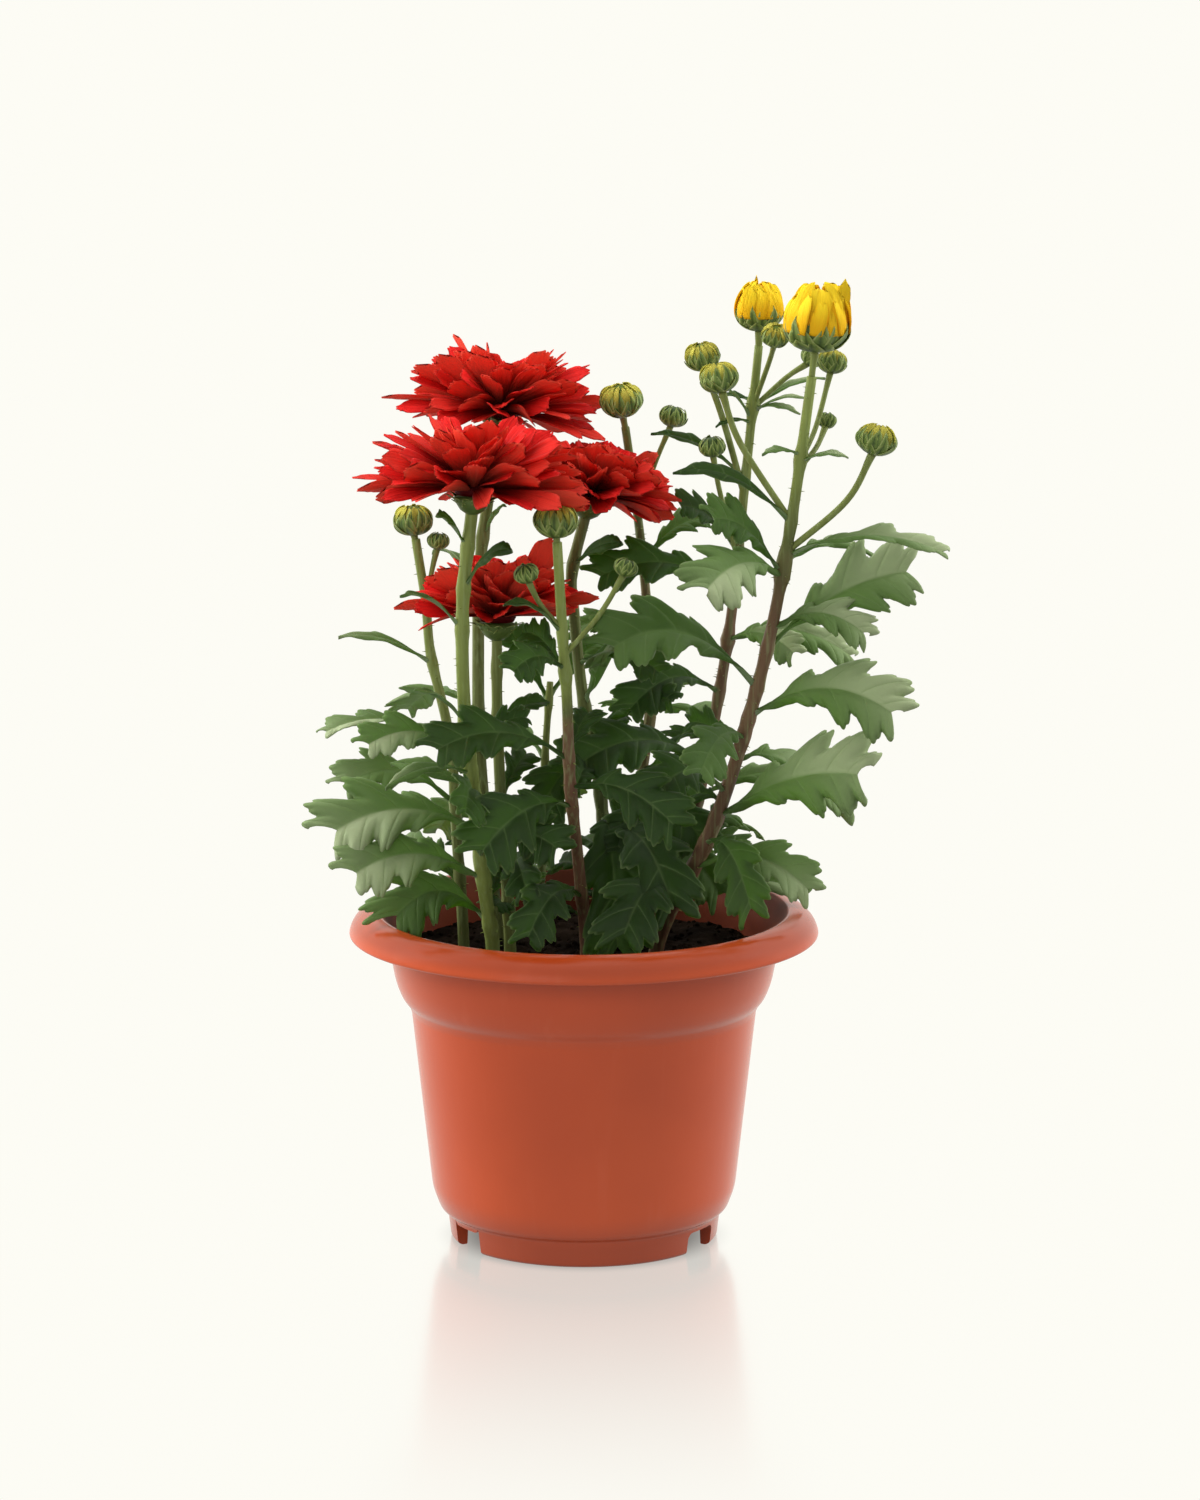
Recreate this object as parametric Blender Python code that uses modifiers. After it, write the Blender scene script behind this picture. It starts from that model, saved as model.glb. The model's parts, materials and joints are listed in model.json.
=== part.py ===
"""A potted chrysanthemum: a moulded plastic pot, its soil, ten leafy stems, four open blooms and their buds."""

import math
import random

import bmesh
import bpy
from mathutils import Matrix, Vector, noise

# Every size and place below is in millimetres, and MM turns it into metres where a mesh is made.
# The origin is on the floor at the pot's axis, and the side that faces the viewer is -Y.
MM = 0.001
GAP = 0.3
# Points closer than WELD become one in a finished mesh, and closer than TURN_WELD in a turned one.
WELD = 0.002
TURN_WELD = 0.01
UP = Vector((0, 0, 1))

# The pot's profile as (radius, height). The outside runs from the rim's inner edge down to the foot.
TURN_STEPS = 30
POT_OUTSIDE = [
    (59.6, 98.9),
    (60.9, 100.0),
    (65.5, 99.1),
    (68.8, 96.4),
    (70.0, 92.7),
    (68.3, 92.7),
    (66.6, 95.2),
    (60.4, 96.5),
    (57.8, 92.5),
    (57.2, 84.4),
    (54.6, 74.5),
    (51.4, 69.5),
    (45.3, 15.5),
    (43.0, 9.5),
    (40.8, 8.2),
    (39.9, 0.8),
    (38.6, 0.0),
]
# Under the base a raised channel lies between the foot ring and a centre that reaches the floor.
POT_UNDERSIDE = [(36.8, 0.0), (36.4, 8.4), (20.0, 8.4), (16.0, 0.0), (0.0, 0.0)]
POT_INSIDE = [
    (0.0, 2.0),
    (14.8, 2.0),
    (18.8, 10.4),
    (38.6, 10.4),
    (43.6, 15.8),
    (49.7, 69.9),
    (55.5, 84.5),
    (56.1, 92.0),
]
FOOT_NOTCHES = 3
NOTCH_WIDTH = 14.0
NOTCH_TOP = 6.8
NOTCH_RING = 38.5
NOTCH_DEPTH = 10.0
NOTCH_ROUNDING = 2.0
DRAIN_RADIUS = 3.0
DRAIN_RING = 28.0
DRAIN_HEIGHT = 9.4
DRAIN_DEPTH = 6.0

SOIL_RADIUS = 55.3
SOIL_TOP = 86.5
SOIL_RINGS = 3
# The soil's top is rough with lumps of about SOIL_LUMP, up to SOIL_RISE high, and lies SOIL_SINK lower.
SOIL_LUMP = 7.0
SOIL_RISE = 2.86
SOIL_SINK = 0.78
SOIL_CLEARANCE = 0.42
STEM_CLEARANCE = 0.39

STEM_FOOT = 64.0
LEAF_THICKNESS = 0.85
PETAL_THICKNESS = 0.75
PETIOLE_HALF_WIDTH = 0.9
# A bud's stalk is the thicker one where the bud's radius is over LARGE_BUD, and BUD_LIFT turns a bud upwards.
STALK_RADII = (1.15, 0.85)
LARGE_BUD = 5.0
BUD_LIFT = 0.6

# A lobed leaf's edge: part of its length, half width as a part of the widest, and how far forward.
LOBED_EDGE = [
    (0.24, 0.12, 0.0),
    (0.40, 0.74, 0.04),
    (0.48, 0.42, 0.0),
    (0.64, 1.00, 0.07),
    (0.74, 0.52, 0.0),
]
PLAIN_EDGE = [(0.22, 0.30, 0.0), (0.50, 1.00, 0.02), (0.76, 0.62, 0.02)]
NARROW_LEAF = 7.5
LEAF_FOLD = math.radians(16)
# Edges that bend by more than this are shown sharp.
SHARP_PLANT = math.radians(40)
SHARP_POT = math.radians(35)

# Each ring of a bloom: petals, length as a part of the longest, rise at the root, rise at the tip.
PETAL_RINGS = [(12, 1.00, -2, 4), (11, 0.96, 20, 17), (8, 0.84, 43, 34), (4, 0.62, 68, 60)]
# A petal's edge as (part of its length, half width as a part of its width).
PETAL_EDGE = [(0, 0.12), (0.32, 0.30), (0.78, 0.5), (1, 0)]
PETAL_WIDTH = 7.4
CORE_RADIUS = 6.4
CORE_STEPS = 10
CORE_PROFILE = [(0, 6.0), (4.48, 4.8), (CORE_RADIUS, 2.1), (5.12, 0), (0, 0)]
CALYX_STEPS = 8
CALYX_DEPTH = 5.5
CALYX_PROFILE = [(0, -GAP), (5.6, -GAP), (4.6, -3.3), (1.7, -CALYX_DEPTH), (0, -CALYX_DEPTH)]
# How far below its bloom a stem ends, inside the calyx.
STEM_END = 3.6

# A bud's cup and its heart in parts of its radius, as (radius, height) from the middle of the cup outwards
# and down, and from the heart's top outwards and down.
BUD_SIDES = {"closed": 8, "opening": 8, "yellow": 12}
BUD_CUPS = {
    "closed": [(0, 0.72), (0.6, 0.58), (1.0, 0.1), (0.66, -0.5), (0, -0.75)],
    "opening": [(0, -0.1), (0.78, 0.4), (0.95, 0.42), (1.0, 0.0), (0.64, -0.6), (0, -0.8)],
    "yellow": [(0, -0.3), (0.76, 0.1), (0.94, 0.1), (0.88, -0.3), (0.5, -0.7), (0, -0.8)],
}
BUD_HEARTS = {
    "opening": [(0, 0.95), (0.5, 0.8), (0.74, 0.5)],
    "yellow": [(0, 1.15), (0.55, 1.05), (0.9, 0.65), (0.92, 0.3), (0.72, 0.15)],
}
# The petals that stand out of a yellow bud: angle round it and rise, in degrees.
YELLOW_PETALS = [(10, 62), (100, 78), (190, 74), (280, 80)]
# How many degrees each of them bends inwards.
YELLOW_BEND = 12
# Every other side of a cup or heart is drawn in to this part of its radius.
DRAWN_IN = 0.9

# A stem's route runs upwards. A leaf is (height on the stem, tip, width, arch, lean), where arch is a part
# of its length and lean is how many degrees its upper face is turned towards the viewer.
# A bud is (height on the stem, middle of its stalk, centre, radius, kind).
STEMS = {
    "stem_front_left": {
        "route": [(-27, -9, 90), (-28.9, -14, 106), (-32.2, -22, 137), (-34.9, -29, 169), (-35, -31, 199)],
        "radii": (2.3, 1.9),
        "bloom": "bloom_front",
        "leaves": [
            (190, (-53, -42, 202), 6, 0.15, 10),
            (202, (-21, -46, 216), 7, 0.15, 40),
            (214, (-42, -38, 225), 5, 0.1, 30),
            (162, (-49, -40, 174), 7, 0.1, 10),
            (152, (-62, -46, 159), 13, 0.15, 45),
            (146, (-57, -54, 148), 7, 0.1, 20),
            (140, (-57, -14, 147), 8, 0.1, 30),
            (128, (-72, -34, 131), 24, 0.15, 50),
            (112, (-66, -42, 120), 20, 0.15, 50),
            (97, (-57, -31, 103), 21, 0.3, 55),
        ],
        "buds": [],
    },
    "stem_back_left": {
        "route": [(-26, 14, 90), (-28.1, 18, 109), (-31.2, 26, 140), (-31.8, 34, 172), (-31, 42, 200)],
        "radii": (2.1, 1.8),
        "bloom": "bloom_top",
        "leaves": [
            (205, (-24, 37, 216), 6, 0.1, 20),
            (190, (-46, 60, 198), 7, 0.15, -20),
            (152, (-54, 56, 150), 16, 0.2, -10),
            (120, (-44, 50, 114), 14, 0.2, -20),
        ],
        "buds": [],
    },
    "stem_left_middle": {
        "route": [(-22, -2, 90), (-23.2, 0, 112), (-24.9, 2, 138), (-25.7, 2, 163)],
        "radii": (2.0, 1.6),
        "bloom": "bloom_low",
        "leaves": [
            (112, (-17, -31, 112), 12, 0.2, 30),
            (172, (-13, 6, 180), 7, 0.1, 40),
            (157, (-10, 8, 161), 8, 0.1, 30),
            (100, (-9, -26, 104), 10, 0.2, 30),
        ],
        "buds": [],
    },
    "stem_middle_back": {
        "route": [(8.4, 14, 92), (6.6, 18, 114), (3.9, 20, 138), (-0.6, 22, 162), (-3, 22, 186), (-3.5, 22, 198)],
        "radii": (2.0, 1.7),
        "bloom": "bloom_right",
        "leaves": [
            (200, (11, 8, 209), 7.5, 0.1, 50),
            (157, (9, 4, 177), 18, 0.2, 30),
            (148, (26, 6, 162), 11, 0.15, 45),
            (122, (10, -16, 92), 21, 0.3, 0),
            (106, (-2, 40, 112), 12, 0.2, 0),
            (130, (35, 1, 121), 18, 0.18, 42),
        ],
        "buds": [],
    },
    "stem_front_middle": {
        "route": [(0.6, -8, 90), (-1.7, -14, 118), (-4, -22, 143), (-4.8, -28, 168), (-6, -32, 187), (-7.6, -34, 216)],
        "radii": (2.0, 1.5),
        "bloom": None,
        "leaves": [
            (189, (-23, -46, 200), 6, 0.15, 20),
            (150, (-42, -44, 157), 17, 0.15, 50),
            (135, (-29, -48, 128), 21, 0.15, 55),
            (178, (-20, -54, 182), 12, 0.15, 50),
            (176, (-17, -14, 186), 10, 0.15, 45),
            (141, (26, -40, 134), 18, 0.15, 50),
            (106, (-16, -42, 101), 15, 0.2, 40),
        ],
        "buds": [
            (214, (-7.8, -34, 217.5), (-7.9, -34, 222.6), 6.4, "opening"),
            (190, (-12.4, -36, 198), (-16.6, -39, 208), 3.6, "closed"),
            (182, (4.6, -30, 194), (12.4, -28, 207.8), 3.5, "closed"),
        ],
    },
    "stem_far_left": {
        "route": [(-36, 6, 90), (-38, 12, 119), (-40, 18, 147), (-45.7, 23, 172), (-47.3, 25, 188), (-50.2, 26, 207)],
        "radii": (1.9, 1.4),
        "bloom": None,
        "leaves": [
            (170, (-73, 14, 180), 7, 0.1, 15),
            (145, (-76, 4, 153), 11, 0.15, 10),
            (129, (-70, 0, 138), 16, 0.2, 40),
            (108, (-62, 30, 112), 13, 0.2, 0),
        ],
        "buds": [
            (205, (-50.6, 26, 208), (-51.0, 26, 213), 5.9, "opening"),
            (187, (-45.3, 25, 198), (-43.4, 24, 207), 3.3, "closed"),
        ],
    },
    "stem_middle_right": {
        "route": [(12.4, 26, 90), (16.8, 32, 129), (20.4, 39, 158), (18.3, 46, 191), (15.4, 50, 216), (12.4, 44, 238)],
        "radii": (1.9, 1.3),
        "bloom": None,
        "leaves": [
            (197, (36, 52, 209), 11, 0.15, 30),
            (176, (-4, 44, 176), 11, 0.15, 30),
            (128, (32, 54, 130), 13, 0.2, 0),
            (112, (40, 6, 104), 17, 0.25, 30),
            (150, (26, 64, 156), 12, 0.2, 0),
        ],
        "buds": [
            (236, (11.8, 42, 241), (11.1, 40, 247), 6.4, "opening"),
            (208, (20.8, 47, 225), (26.8, 45, 241.5), 4.2, "closed"),
        ],
    },
    "stem_back_right": {
        "route": [
            (22.8, 18, 90),
            (34, 26, 127),
            (43.1, 28, 176),
            (48, 24, 225),
            (51.8, 20, 266),
        ],
        "radii": (2.1, 1.3),
        "bloom": None,
        "leaves": [
            (203, (29, 14, 219), 11, 0.15, 50),
            (226, (20, 14, 241), 6, 0.1, 30),
            (176, (80, 36, 170), 13, 0.15, 45),
            (128, (80, 34, 124), 14, 0.2, 40),
            (113, (50, 38, 116), 13, 0.2, 10),
            (93, (66, 6, 104), 11, 0.15, 30),
            (139, (-2, -4, 144), 20, 0.15, 40),
            (144, (31, 52, 150), 14, 0.2, 0),
            (191, (5, 14, 198), 16, 0.15, 45),
            (176, (62, 8, 176), 11, 0.15, 50),
            (247, (64, 12, 247), 3.5, 0.1, 20),
            (249, (40, 28, 250), 3.5, 0.1, 20),
            (247, (72, 32, 255), 3.5, 0.1, 20),
        ],
        "buds": [
            (264, (51.8, 20, 267), (51.8, 20, 275.5), 7.8, "yellow"),
            (247, (54.8, 15, 262), (56.4, 7, 271), 4.2, "opening"),
            (247, (60, 23, 256), (67.7, 25, 262), 3.4, "closed"),
            (221, (41.0, 17, 245), (34.9, 12, 264), 5.2, "opening"),
            (201, (40.5, 18, 222), (37.9, 14, 237), 3.9, "closed"),
        ],
    },
    "stem_far_right": {
        "route": [
            (22.2, 0, 90),
            (39.2, -4, 128),
            (52.8, -8, 175),
            (60.5, -10, 216),
            (66.6, -10, 261),
        ],
        "radii": (2.4, 1.5),
        "bloom": None,
        "leaves": [
            (168, (9, -32, 185), 22, 0.2, 45),
            (202, (36, -42, 204), 21, 0.15, 40),
            (202, (38, -28, 222), 15, 0.15, 60),
            (218, (26, -24, 235), 8, 0.15, 35),
            (208, (105, -14, 210), 10, 0.12, 20),
            (206, (86, 12, 204), 10, 0.15, 15),
            (180, (95, -2, 202), 22, 0.1, 60),
            (159, (90, -23, 164), 22, 0.18, 50),
            (128, (80, -26, 146), 25, 0.1, 60),
            (112, (66, -18, 110), 15, 0.2, 40),
            (153, (34, -44, 150), 15, 0.15, 40),
            (120, (52, -36, 104), 17, 0.25, 40),
            (236, (77, -20, 239), 4, 0.1, 20),
            (238, (52, -20, 240), 4, 0.1, 20),
        ],
        "buds": [
            (260, (67, -10, 265), (67.9, -10, 276.1), 9.6, "yellow"),
            (236, (68.2, -1, 245), (73.1, 8, 263), 4.4, "opening"),
            (218, (45.8, -7, 241), (39.6, -4, 260), 5.7, "opening"),
            (234, (68.2, -3, 239), (71.6, 6, 245.9), 2.9, "closed"),
            (209, (77, -8, 224), (85.9, -6, 242), 5.9, "opening"),
        ],
    },
    "shoot_back": {
        "route": [(-13.9, 26, 90), (-12.7, 30, 108), (-11.8, 34, 138), (-10.2, 35, 162)],
        "radii": (1.6, 1.0),
        "bloom": None,
        "leaves": [
            (138, (-28, 60, 141), 13, 0.2, 0),
            (120, (-6, 66, 122), 14, 0.2, 0),
            (155, (-22, 42, 176), 10, 0.1, 40),
            (157, (4, 46, 172), 9, 0.1, 30),
        ],
        "buds": [],
    },
}

# A bloom is (top of its calyx, direction it faces, longest petal's reach, seed of its petals).
BLOOMS = {
    "bloom_front": ((-32, -30, 229.3), (0.05, -0.06, 1), 36.5, 3),
    "bloom_top": ((-25, 46, 241), (0.10, -0.05, 1), 33.5, 8),
    "bloom_right": ((1.5, 22, 219.5), (0.22, -0.05, 1), 27.0, 5),
    "bloom_low": ((-25.6, 1, 186.6), (0.02, -0.05, 1), 28.0, 11),
}

POT_COLOR = (0.40, 0.075, 0.03)
SOIL_COLOR = (0.018, 0.011, 0.008)
LEAF_COLOR = (0.045, 0.13, 0.035)
PETAL_COLOR = (0.50, 0.004, 0.004)
YELLOW_COLOR = (0.85, 0.48, 0.01)
HEART_COLOR = (0.42, 0.50, 0.10)


def clear_scene():
    for item in list(bpy.data.objects):
        bpy.data.objects.remove(item, do_unlink=True)


def new_collection(name, hidden=False):
    collection = bpy.data.collections.new(name)
    bpy.context.scene.collection.children.link(collection)
    collection.hide_render = hidden
    return collection


def new_material(name, color, roughness):
    material = bpy.data.materials.new(name)
    material.use_nodes = True
    shader = material.node_tree.nodes["Principled BSDF"]
    shader.inputs["Base Color"].default_value = (*color, 1)
    shader.inputs["Roughness"].default_value = roughness
    material.diffuse_color = (*color, 1)
    return material


def new_object(name, mesh, collection):
    item = bpy.data.objects.new(name, mesh)
    collection.objects.link(item)
    return item


def remove_object(item):
    data = item.data
    bpy.data.objects.remove(item, do_unlink=True)
    if isinstance(data, bpy.types.Mesh):
        bpy.data.meshes.remove(data)
    else:
        bpy.data.curves.remove(data)


def made_mesh(item):
    """Turns an object with modifiers, or a curve, into a plain mesh object in the same collection."""
    graph = bpy.context.evaluated_depsgraph_get()
    mesh = bpy.data.meshes.new_from_object(item.evaluated_get(graph))
    name = item.name
    collection = item.users_collection[0]
    matrix = item.matrix_world.copy()
    remove_object(item)
    shape = bmesh.new()
    shape.from_mesh(mesh)
    bmesh.ops.remove_doubles(shape, verts=shape.verts, dist=WELD * MM)
    shape.to_mesh(mesh)
    shape.free()
    made = new_object(name, mesh, collection)
    made.matrix_world = matrix
    return made


def mesh_from(name, points, faces):
    mesh = bpy.data.meshes.new(name)
    mesh.from_pydata([Vector(point) * MM for point in points], [], faces)
    return mesh


def tube(name, points, radii, collection):
    """A bar along the points, closed at both ends: six-sided, or four-sided where it is thinner than 2 mm."""
    curve = bpy.data.curves.new(name, "CURVE")
    curve.dimensions = "3D"
    curve.bevel_depth = MM
    curve.bevel_resolution = 1 if max(radii) > 1 else 0
    curve.use_fill_caps = True
    spline = curve.splines.new("POLY")
    spline.points.add(len(points) - 1)
    for spot, point, radius in zip(spline.points, points, radii):
        spot.co = (*(Vector(point) * MM), 1)
        spot.radius = radius
    return made_mesh(new_object(name, curve, collection))


def turned(name, profile, steps, collection, matrix=None):
    """A profile of (radius, height) points turned about Z, then placed by the matrix."""
    points = [(radius, 0, height) for radius, height in profile]
    edges = [(i, i + 1) for i in range(len(points) - 1)]
    if profile[0][0] > 0:
        edges.append((len(points) - 1, 0))
    mesh = bpy.data.meshes.new(name)
    mesh.from_pydata([Vector(point) * MM for point in points], edges, [])
    item = new_object(name, mesh, collection)
    screw = item.modifiers.new("Turn", "SCREW")
    screw.steps = steps
    screw.render_steps = steps
    screw.use_merge_vertices = True
    screw.merge_threshold = TURN_WELD * MM
    made = made_mesh(item)
    if matrix:
        made.data.transform(matrix)
    return made


def facing(place, direction):
    """The matrix that stands a shape's Z along the direction, with its origin at the place."""
    turn = UP.rotation_difference(Vector(direction)).to_matrix().to_4x4()
    return Matrix.Translation(Vector(place) * MM) @ turn


def blade(name, rows, thickness, collection):
    """A thin closed leaf or petal. Each row holds the points across it at one place, and the last is its tip."""
    across = len(rows[0])
    points = [point for row in rows[:-1] for point in row]
    points.append(rows[-1])
    faces = []
    for i in range(len(rows) - 2):
        for j in range(across - 1):
            near = across * i + j
            far = near + across
            faces += [(near, near + 1, far), (near + 1, far + 1, far)]
    tip = len(points) - 1
    faces += [(tip - across + j, tip - across + j + 1, tip) for j in range(across - 1)]
    item = new_object(name, mesh_from(name, points, faces), collection)
    shell = item.modifiers.new("Thickness", "SOLIDIFY")
    shell.thickness = thickness * MM
    shell.offset = 0
    return item


def fused(name, pieces, collection, material):
    """Joins the pieces into one body in the collection, and removes them."""
    first, *others = pieces
    if others:
        helper = bpy.data.collections.new("pieces to join")
        bpy.context.scene.collection.children.link(helper)
        for piece in others:
            helper.objects.link(piece)
        join = first.modifiers.new("Join", "BOOLEAN")
        join.operation = "UNION"
        join.operand_type = "COLLECTION"
        join.collection = helper
        join.solver = "EXACT"
        first = made_mesh(first)
        for piece in others:
            remove_object(piece)
        bpy.data.collections.remove(helper)
    first.name = name
    first.data.materials.clear()
    first.data.materials.append(material)
    first.data.shade_smooth()
    first.data.set_sharp_from_angle(angle=SHARP_PLANT)
    for home in list(first.users_collection):
        home.objects.unlink(first)
    collection.objects.link(first)
    return first


def leaf(name, base, tip, width, arch, lean, collection):
    """A leaf on its stalk, arched between its base and its tip, with its two halves folded up a little."""
    base = Vector(base)
    run = Vector(tip) - base
    length = run.length
    level = run.cross(UP).normalized()
    edge = PLAIN_EDGE if width <= NARROW_LEAF else LOBED_EDGE
    turn = math.radians(math.copysign(lean, lean * run.x))

    def spot(t):
        return base + run * t + UP * (4 * arch * length * t * (1 - t))

    def row(t, half, forward):
        along = (spot(t + 0.01) - spot(t - 0.01)).normalized()
        side = Matrix.Rotation(turn * min(1, t / edge[0][0]), 3, along) @ level
        raised = side.cross(along) * half * math.sin(LEAF_FOLD) + along * forward * length
        reach = side * half * math.cos(LEAF_FOLD)
        return spot(t) - reach + raised, spot(t), spot(t) + reach + raised

    rows = [row(0.0, PETIOLE_HALF_WIDTH, 0)]
    rows += [row(t, max(PETIOLE_HALF_WIDTH, part * width / 2), forward) for t, part, forward in edge]
    return blade(name, [*rows, spot(1.0)], LEAF_THICKNESS, collection)


def petal(name, root, turn, length, width, start_rise, end_rise, twist, collection, matrix):
    """A strap-shaped petal that leaves the bloom's axis at the turn angle and bends from one rise to the other."""
    outward = Vector((math.cos(turn), math.sin(turn), 0))
    middle = outward * root[0] + UP * root[1]
    rows = []
    reached = 0
    for part, half_part in PETAL_EDGE:
        rise = math.radians(start_rise + (end_rise - start_rise) * part)
        along = outward * math.cos(rise) + UP * math.sin(rise)
        middle = middle + along * length * (part - reached)
        reached = part
        side = Matrix.Rotation(twist * part, 3, along) @ along.cross(UP).normalized()
        half = side * half_part * width
        rows.append((middle - half, middle + half) if half_part else middle)
    item = blade(name, rows, PETAL_THICKNESS, collection)
    item.data.transform(matrix)
    return item


def bloom(name, place, direction, reach, seed, parts, helpers, material):
    draw = random.Random(seed)
    matrix = facing(place, direction)
    pieces = [turned("core", CORE_PROFILE, CORE_STEPS, helpers, matrix)]
    longest = reach - 0.5 * CORE_RADIUS
    for ring, (count, part, start_rise, end_rise) in enumerate(PETAL_RINGS):
        root = (CORE_RADIUS * (0.60 - 0.12 * ring), 2.2 + 0.7 * ring)
        for i in range(count):
            turn = 2 * math.pi * (i + 0.5 * (ring % 2)) / count + draw.uniform(-0.06, 0.06)
            length = longest * part * draw.uniform(0.86, 1.0)
            width = PETAL_WIDTH * draw.uniform(0.85, 1.05)
            lean = draw.uniform(-5, 5)
            twist = draw.uniform(-0.3, 0.3)
            rises = (start_rise + 0.5 * lean, end_rise + lean)
            pieces.append(petal("petal", root, turn, length, width, *rises, twist, helpers, matrix))
    return fused(name, pieces, parts, material)


def bud_shape(name, profile, radius, sides, helpers, matrix):
    """A turned shape in parts of the bud's radius, drawn in at every other side so that its scales stand out."""
    item = turned(name, [(r * radius, z * radius) for r, z in profile], sides, helpers)
    for vertex in item.data.vertices:
        step = round(math.atan2(vertex.co.y, vertex.co.x) / (2 * math.pi) * sides)
        if step % 2:
            vertex.co.x *= DRAWN_IN
            vertex.co.y *= DRAWN_IN
    item.data.transform(matrix)
    return item


def bud_heart(name, radius, kind, matrix, parts, helpers, materials):
    """The folded petals that show in the cup of an opening bud, and stand high out of a yellow one."""
    profile = [*BUD_HEARTS[kind], (0, BUD_CUPS[kind][0][1] + 1.5 * GAP / radius)]
    pieces = [bud_shape("heart", profile, radius, BUD_SIDES[kind], helpers, matrix)]
    if kind == "yellow":
        for turn, rise in YELLOW_PETALS:
            root = (0.5 * radius, 0.5 * radius)
            angle = math.radians(turn)
            rises = (rise, rise + YELLOW_BEND)
            pieces.append(petal("petal", root, angle, radius, 0.5 * radius, *rises, 0, helpers, matrix))
    material = materials["yellow petals" if kind == "yellow" else "bud petals"]
    return fused(name, pieces, parts, material)


def at_height(points, height):
    """The stem's middle at this height, between the two points of its route that lie on either side."""
    for low, high in zip(points, points[1:]):
        if low.z <= height <= high.z:
            return low.lerp(high, (height - low.z) / (high.z - low.z))
    return points[-1]


def stem_points(plan, calyx):
    """The stem's route, with an upright foot in the soil and its top inside the calyx."""
    route = [Vector(point) for point in plan["route"]]
    foot = Vector((route[0].x, route[0].y, STEM_FOOT))
    if calyx:
        place, direction = calyx
        route.append(Vector(place) - Vector(direction).normalized() * STEM_END)
    return [foot, *route]


def stem_radii(plan, count):
    low, high = plan["radii"]
    return [low + (high - low) * i / (count - 1) for i in range(count)]


def stem(name, plan, parts, helpers, materials):
    calyx = BLOOMS[plan["bloom"]][:2] if plan["bloom"] else None
    points = stem_points(plan, calyx)
    pieces = [tube("stalk", points, stem_radii(plan, len(points)), helpers)]
    if calyx:
        pieces.append(turned("calyx", CALYX_PROFILE, CALYX_STEPS, helpers, facing(*calyx)))
    for height, tip, width, arch, lean in plan["leaves"]:
        base = at_height(points, height)
        pieces.append(leaf("leaf", base, tip, width, arch, lean, helpers))
    for number, (height, middle, place, radius, kind) in enumerate(plan["buds"], 1):
        base = at_height(points, height)
        route = [base, Vector(middle), Vector(place)]
        direction = (Vector(place) - Vector(middle)).normalized() + BUD_LIFT * UP
        route[-1] = Vector(place) - direction.normalized() * 0.5 * radius
        thickness = STALK_RADII[0] if radius > LARGE_BUD else STALK_RADII[1]
        pieces.append(tube("stalk", route, [thickness] * len(route), helpers))
        matrix = facing(place, direction)
        pieces.append(bud_shape("cup", BUD_CUPS[kind], radius, BUD_SIDES[kind], helpers, matrix))
        if kind != "closed":
            heart = f"{name.replace('stem_', 'bud_')}_{number}"
            bud_heart(heart, radius, kind, matrix, parts, helpers, materials)
    return fused(name, pieces, parts, materials["leaves"])


def cut(item, cutters):
    difference = item.modifiers.new("Cut", "BOOLEAN")
    difference.operation = "DIFFERENCE"
    difference.operand_type = "COLLECTION"
    difference.collection = cutters
    difference.solver = "EXACT"


def pot(parts, materials):
    cutters = new_collection("pot cutters", hidden=True)
    item = turned("pot", POT_OUTSIDE + POT_UNDERSIDE + POT_INSIDE, TURN_STEPS, parts)
    for i in range(FOOT_NOTCHES):
        angle = math.radians(90 + 120 * i)
        outward = Vector((math.cos(angle), math.sin(angle), 0))
        mesh = bpy.data.meshes.new("notch")
        shape = bmesh.new()
        bmesh.ops.create_cube(shape, size=1)
        size = Matrix.Diagonal((NOTCH_DEPTH, NOTCH_WIDTH, 2 * NOTCH_TOP, 1))
        turn = Matrix.Rotation(angle, 4, "Z")
        place = Matrix.Translation(outward * NOTCH_RING * MM)
        shape.transform(place @ turn @ Matrix.Scale(MM, 4) @ size)
        shape.to_mesh(mesh)
        shape.free()
        notch = new_object(f"notch_{i}", mesh, cutters)
        notch.display_type = "WIRE"
        bevel = notch.modifiers.new("Round corners", "BEVEL")
        bevel.width = NOTCH_ROUNDING * MM
        bevel.segments = 2
        drain = bpy.data.meshes.new("drain")
        shape = bmesh.new()
        width = DRAIN_RADIUS * MM
        depth = DRAIN_DEPTH * MM
        bmesh.ops.create_cone(shape, cap_ends=True, segments=12, radius1=width, radius2=width, depth=depth)
        shape.transform(Matrix.Translation((outward * DRAIN_RING + UP * DRAIN_HEIGHT) * MM))
        shape.to_mesh(drain)
        shape.free()
        hole = new_object(f"drain_{i}", drain, cutters)
        hole.display_type = "WIRE"
    cut(item, cutters)
    item.data.materials.append(materials["pot plastic"])
    item.data.shade_smooth()
    item.data.set_sharp_from_angle(angle=SHARP_POT)


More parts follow.
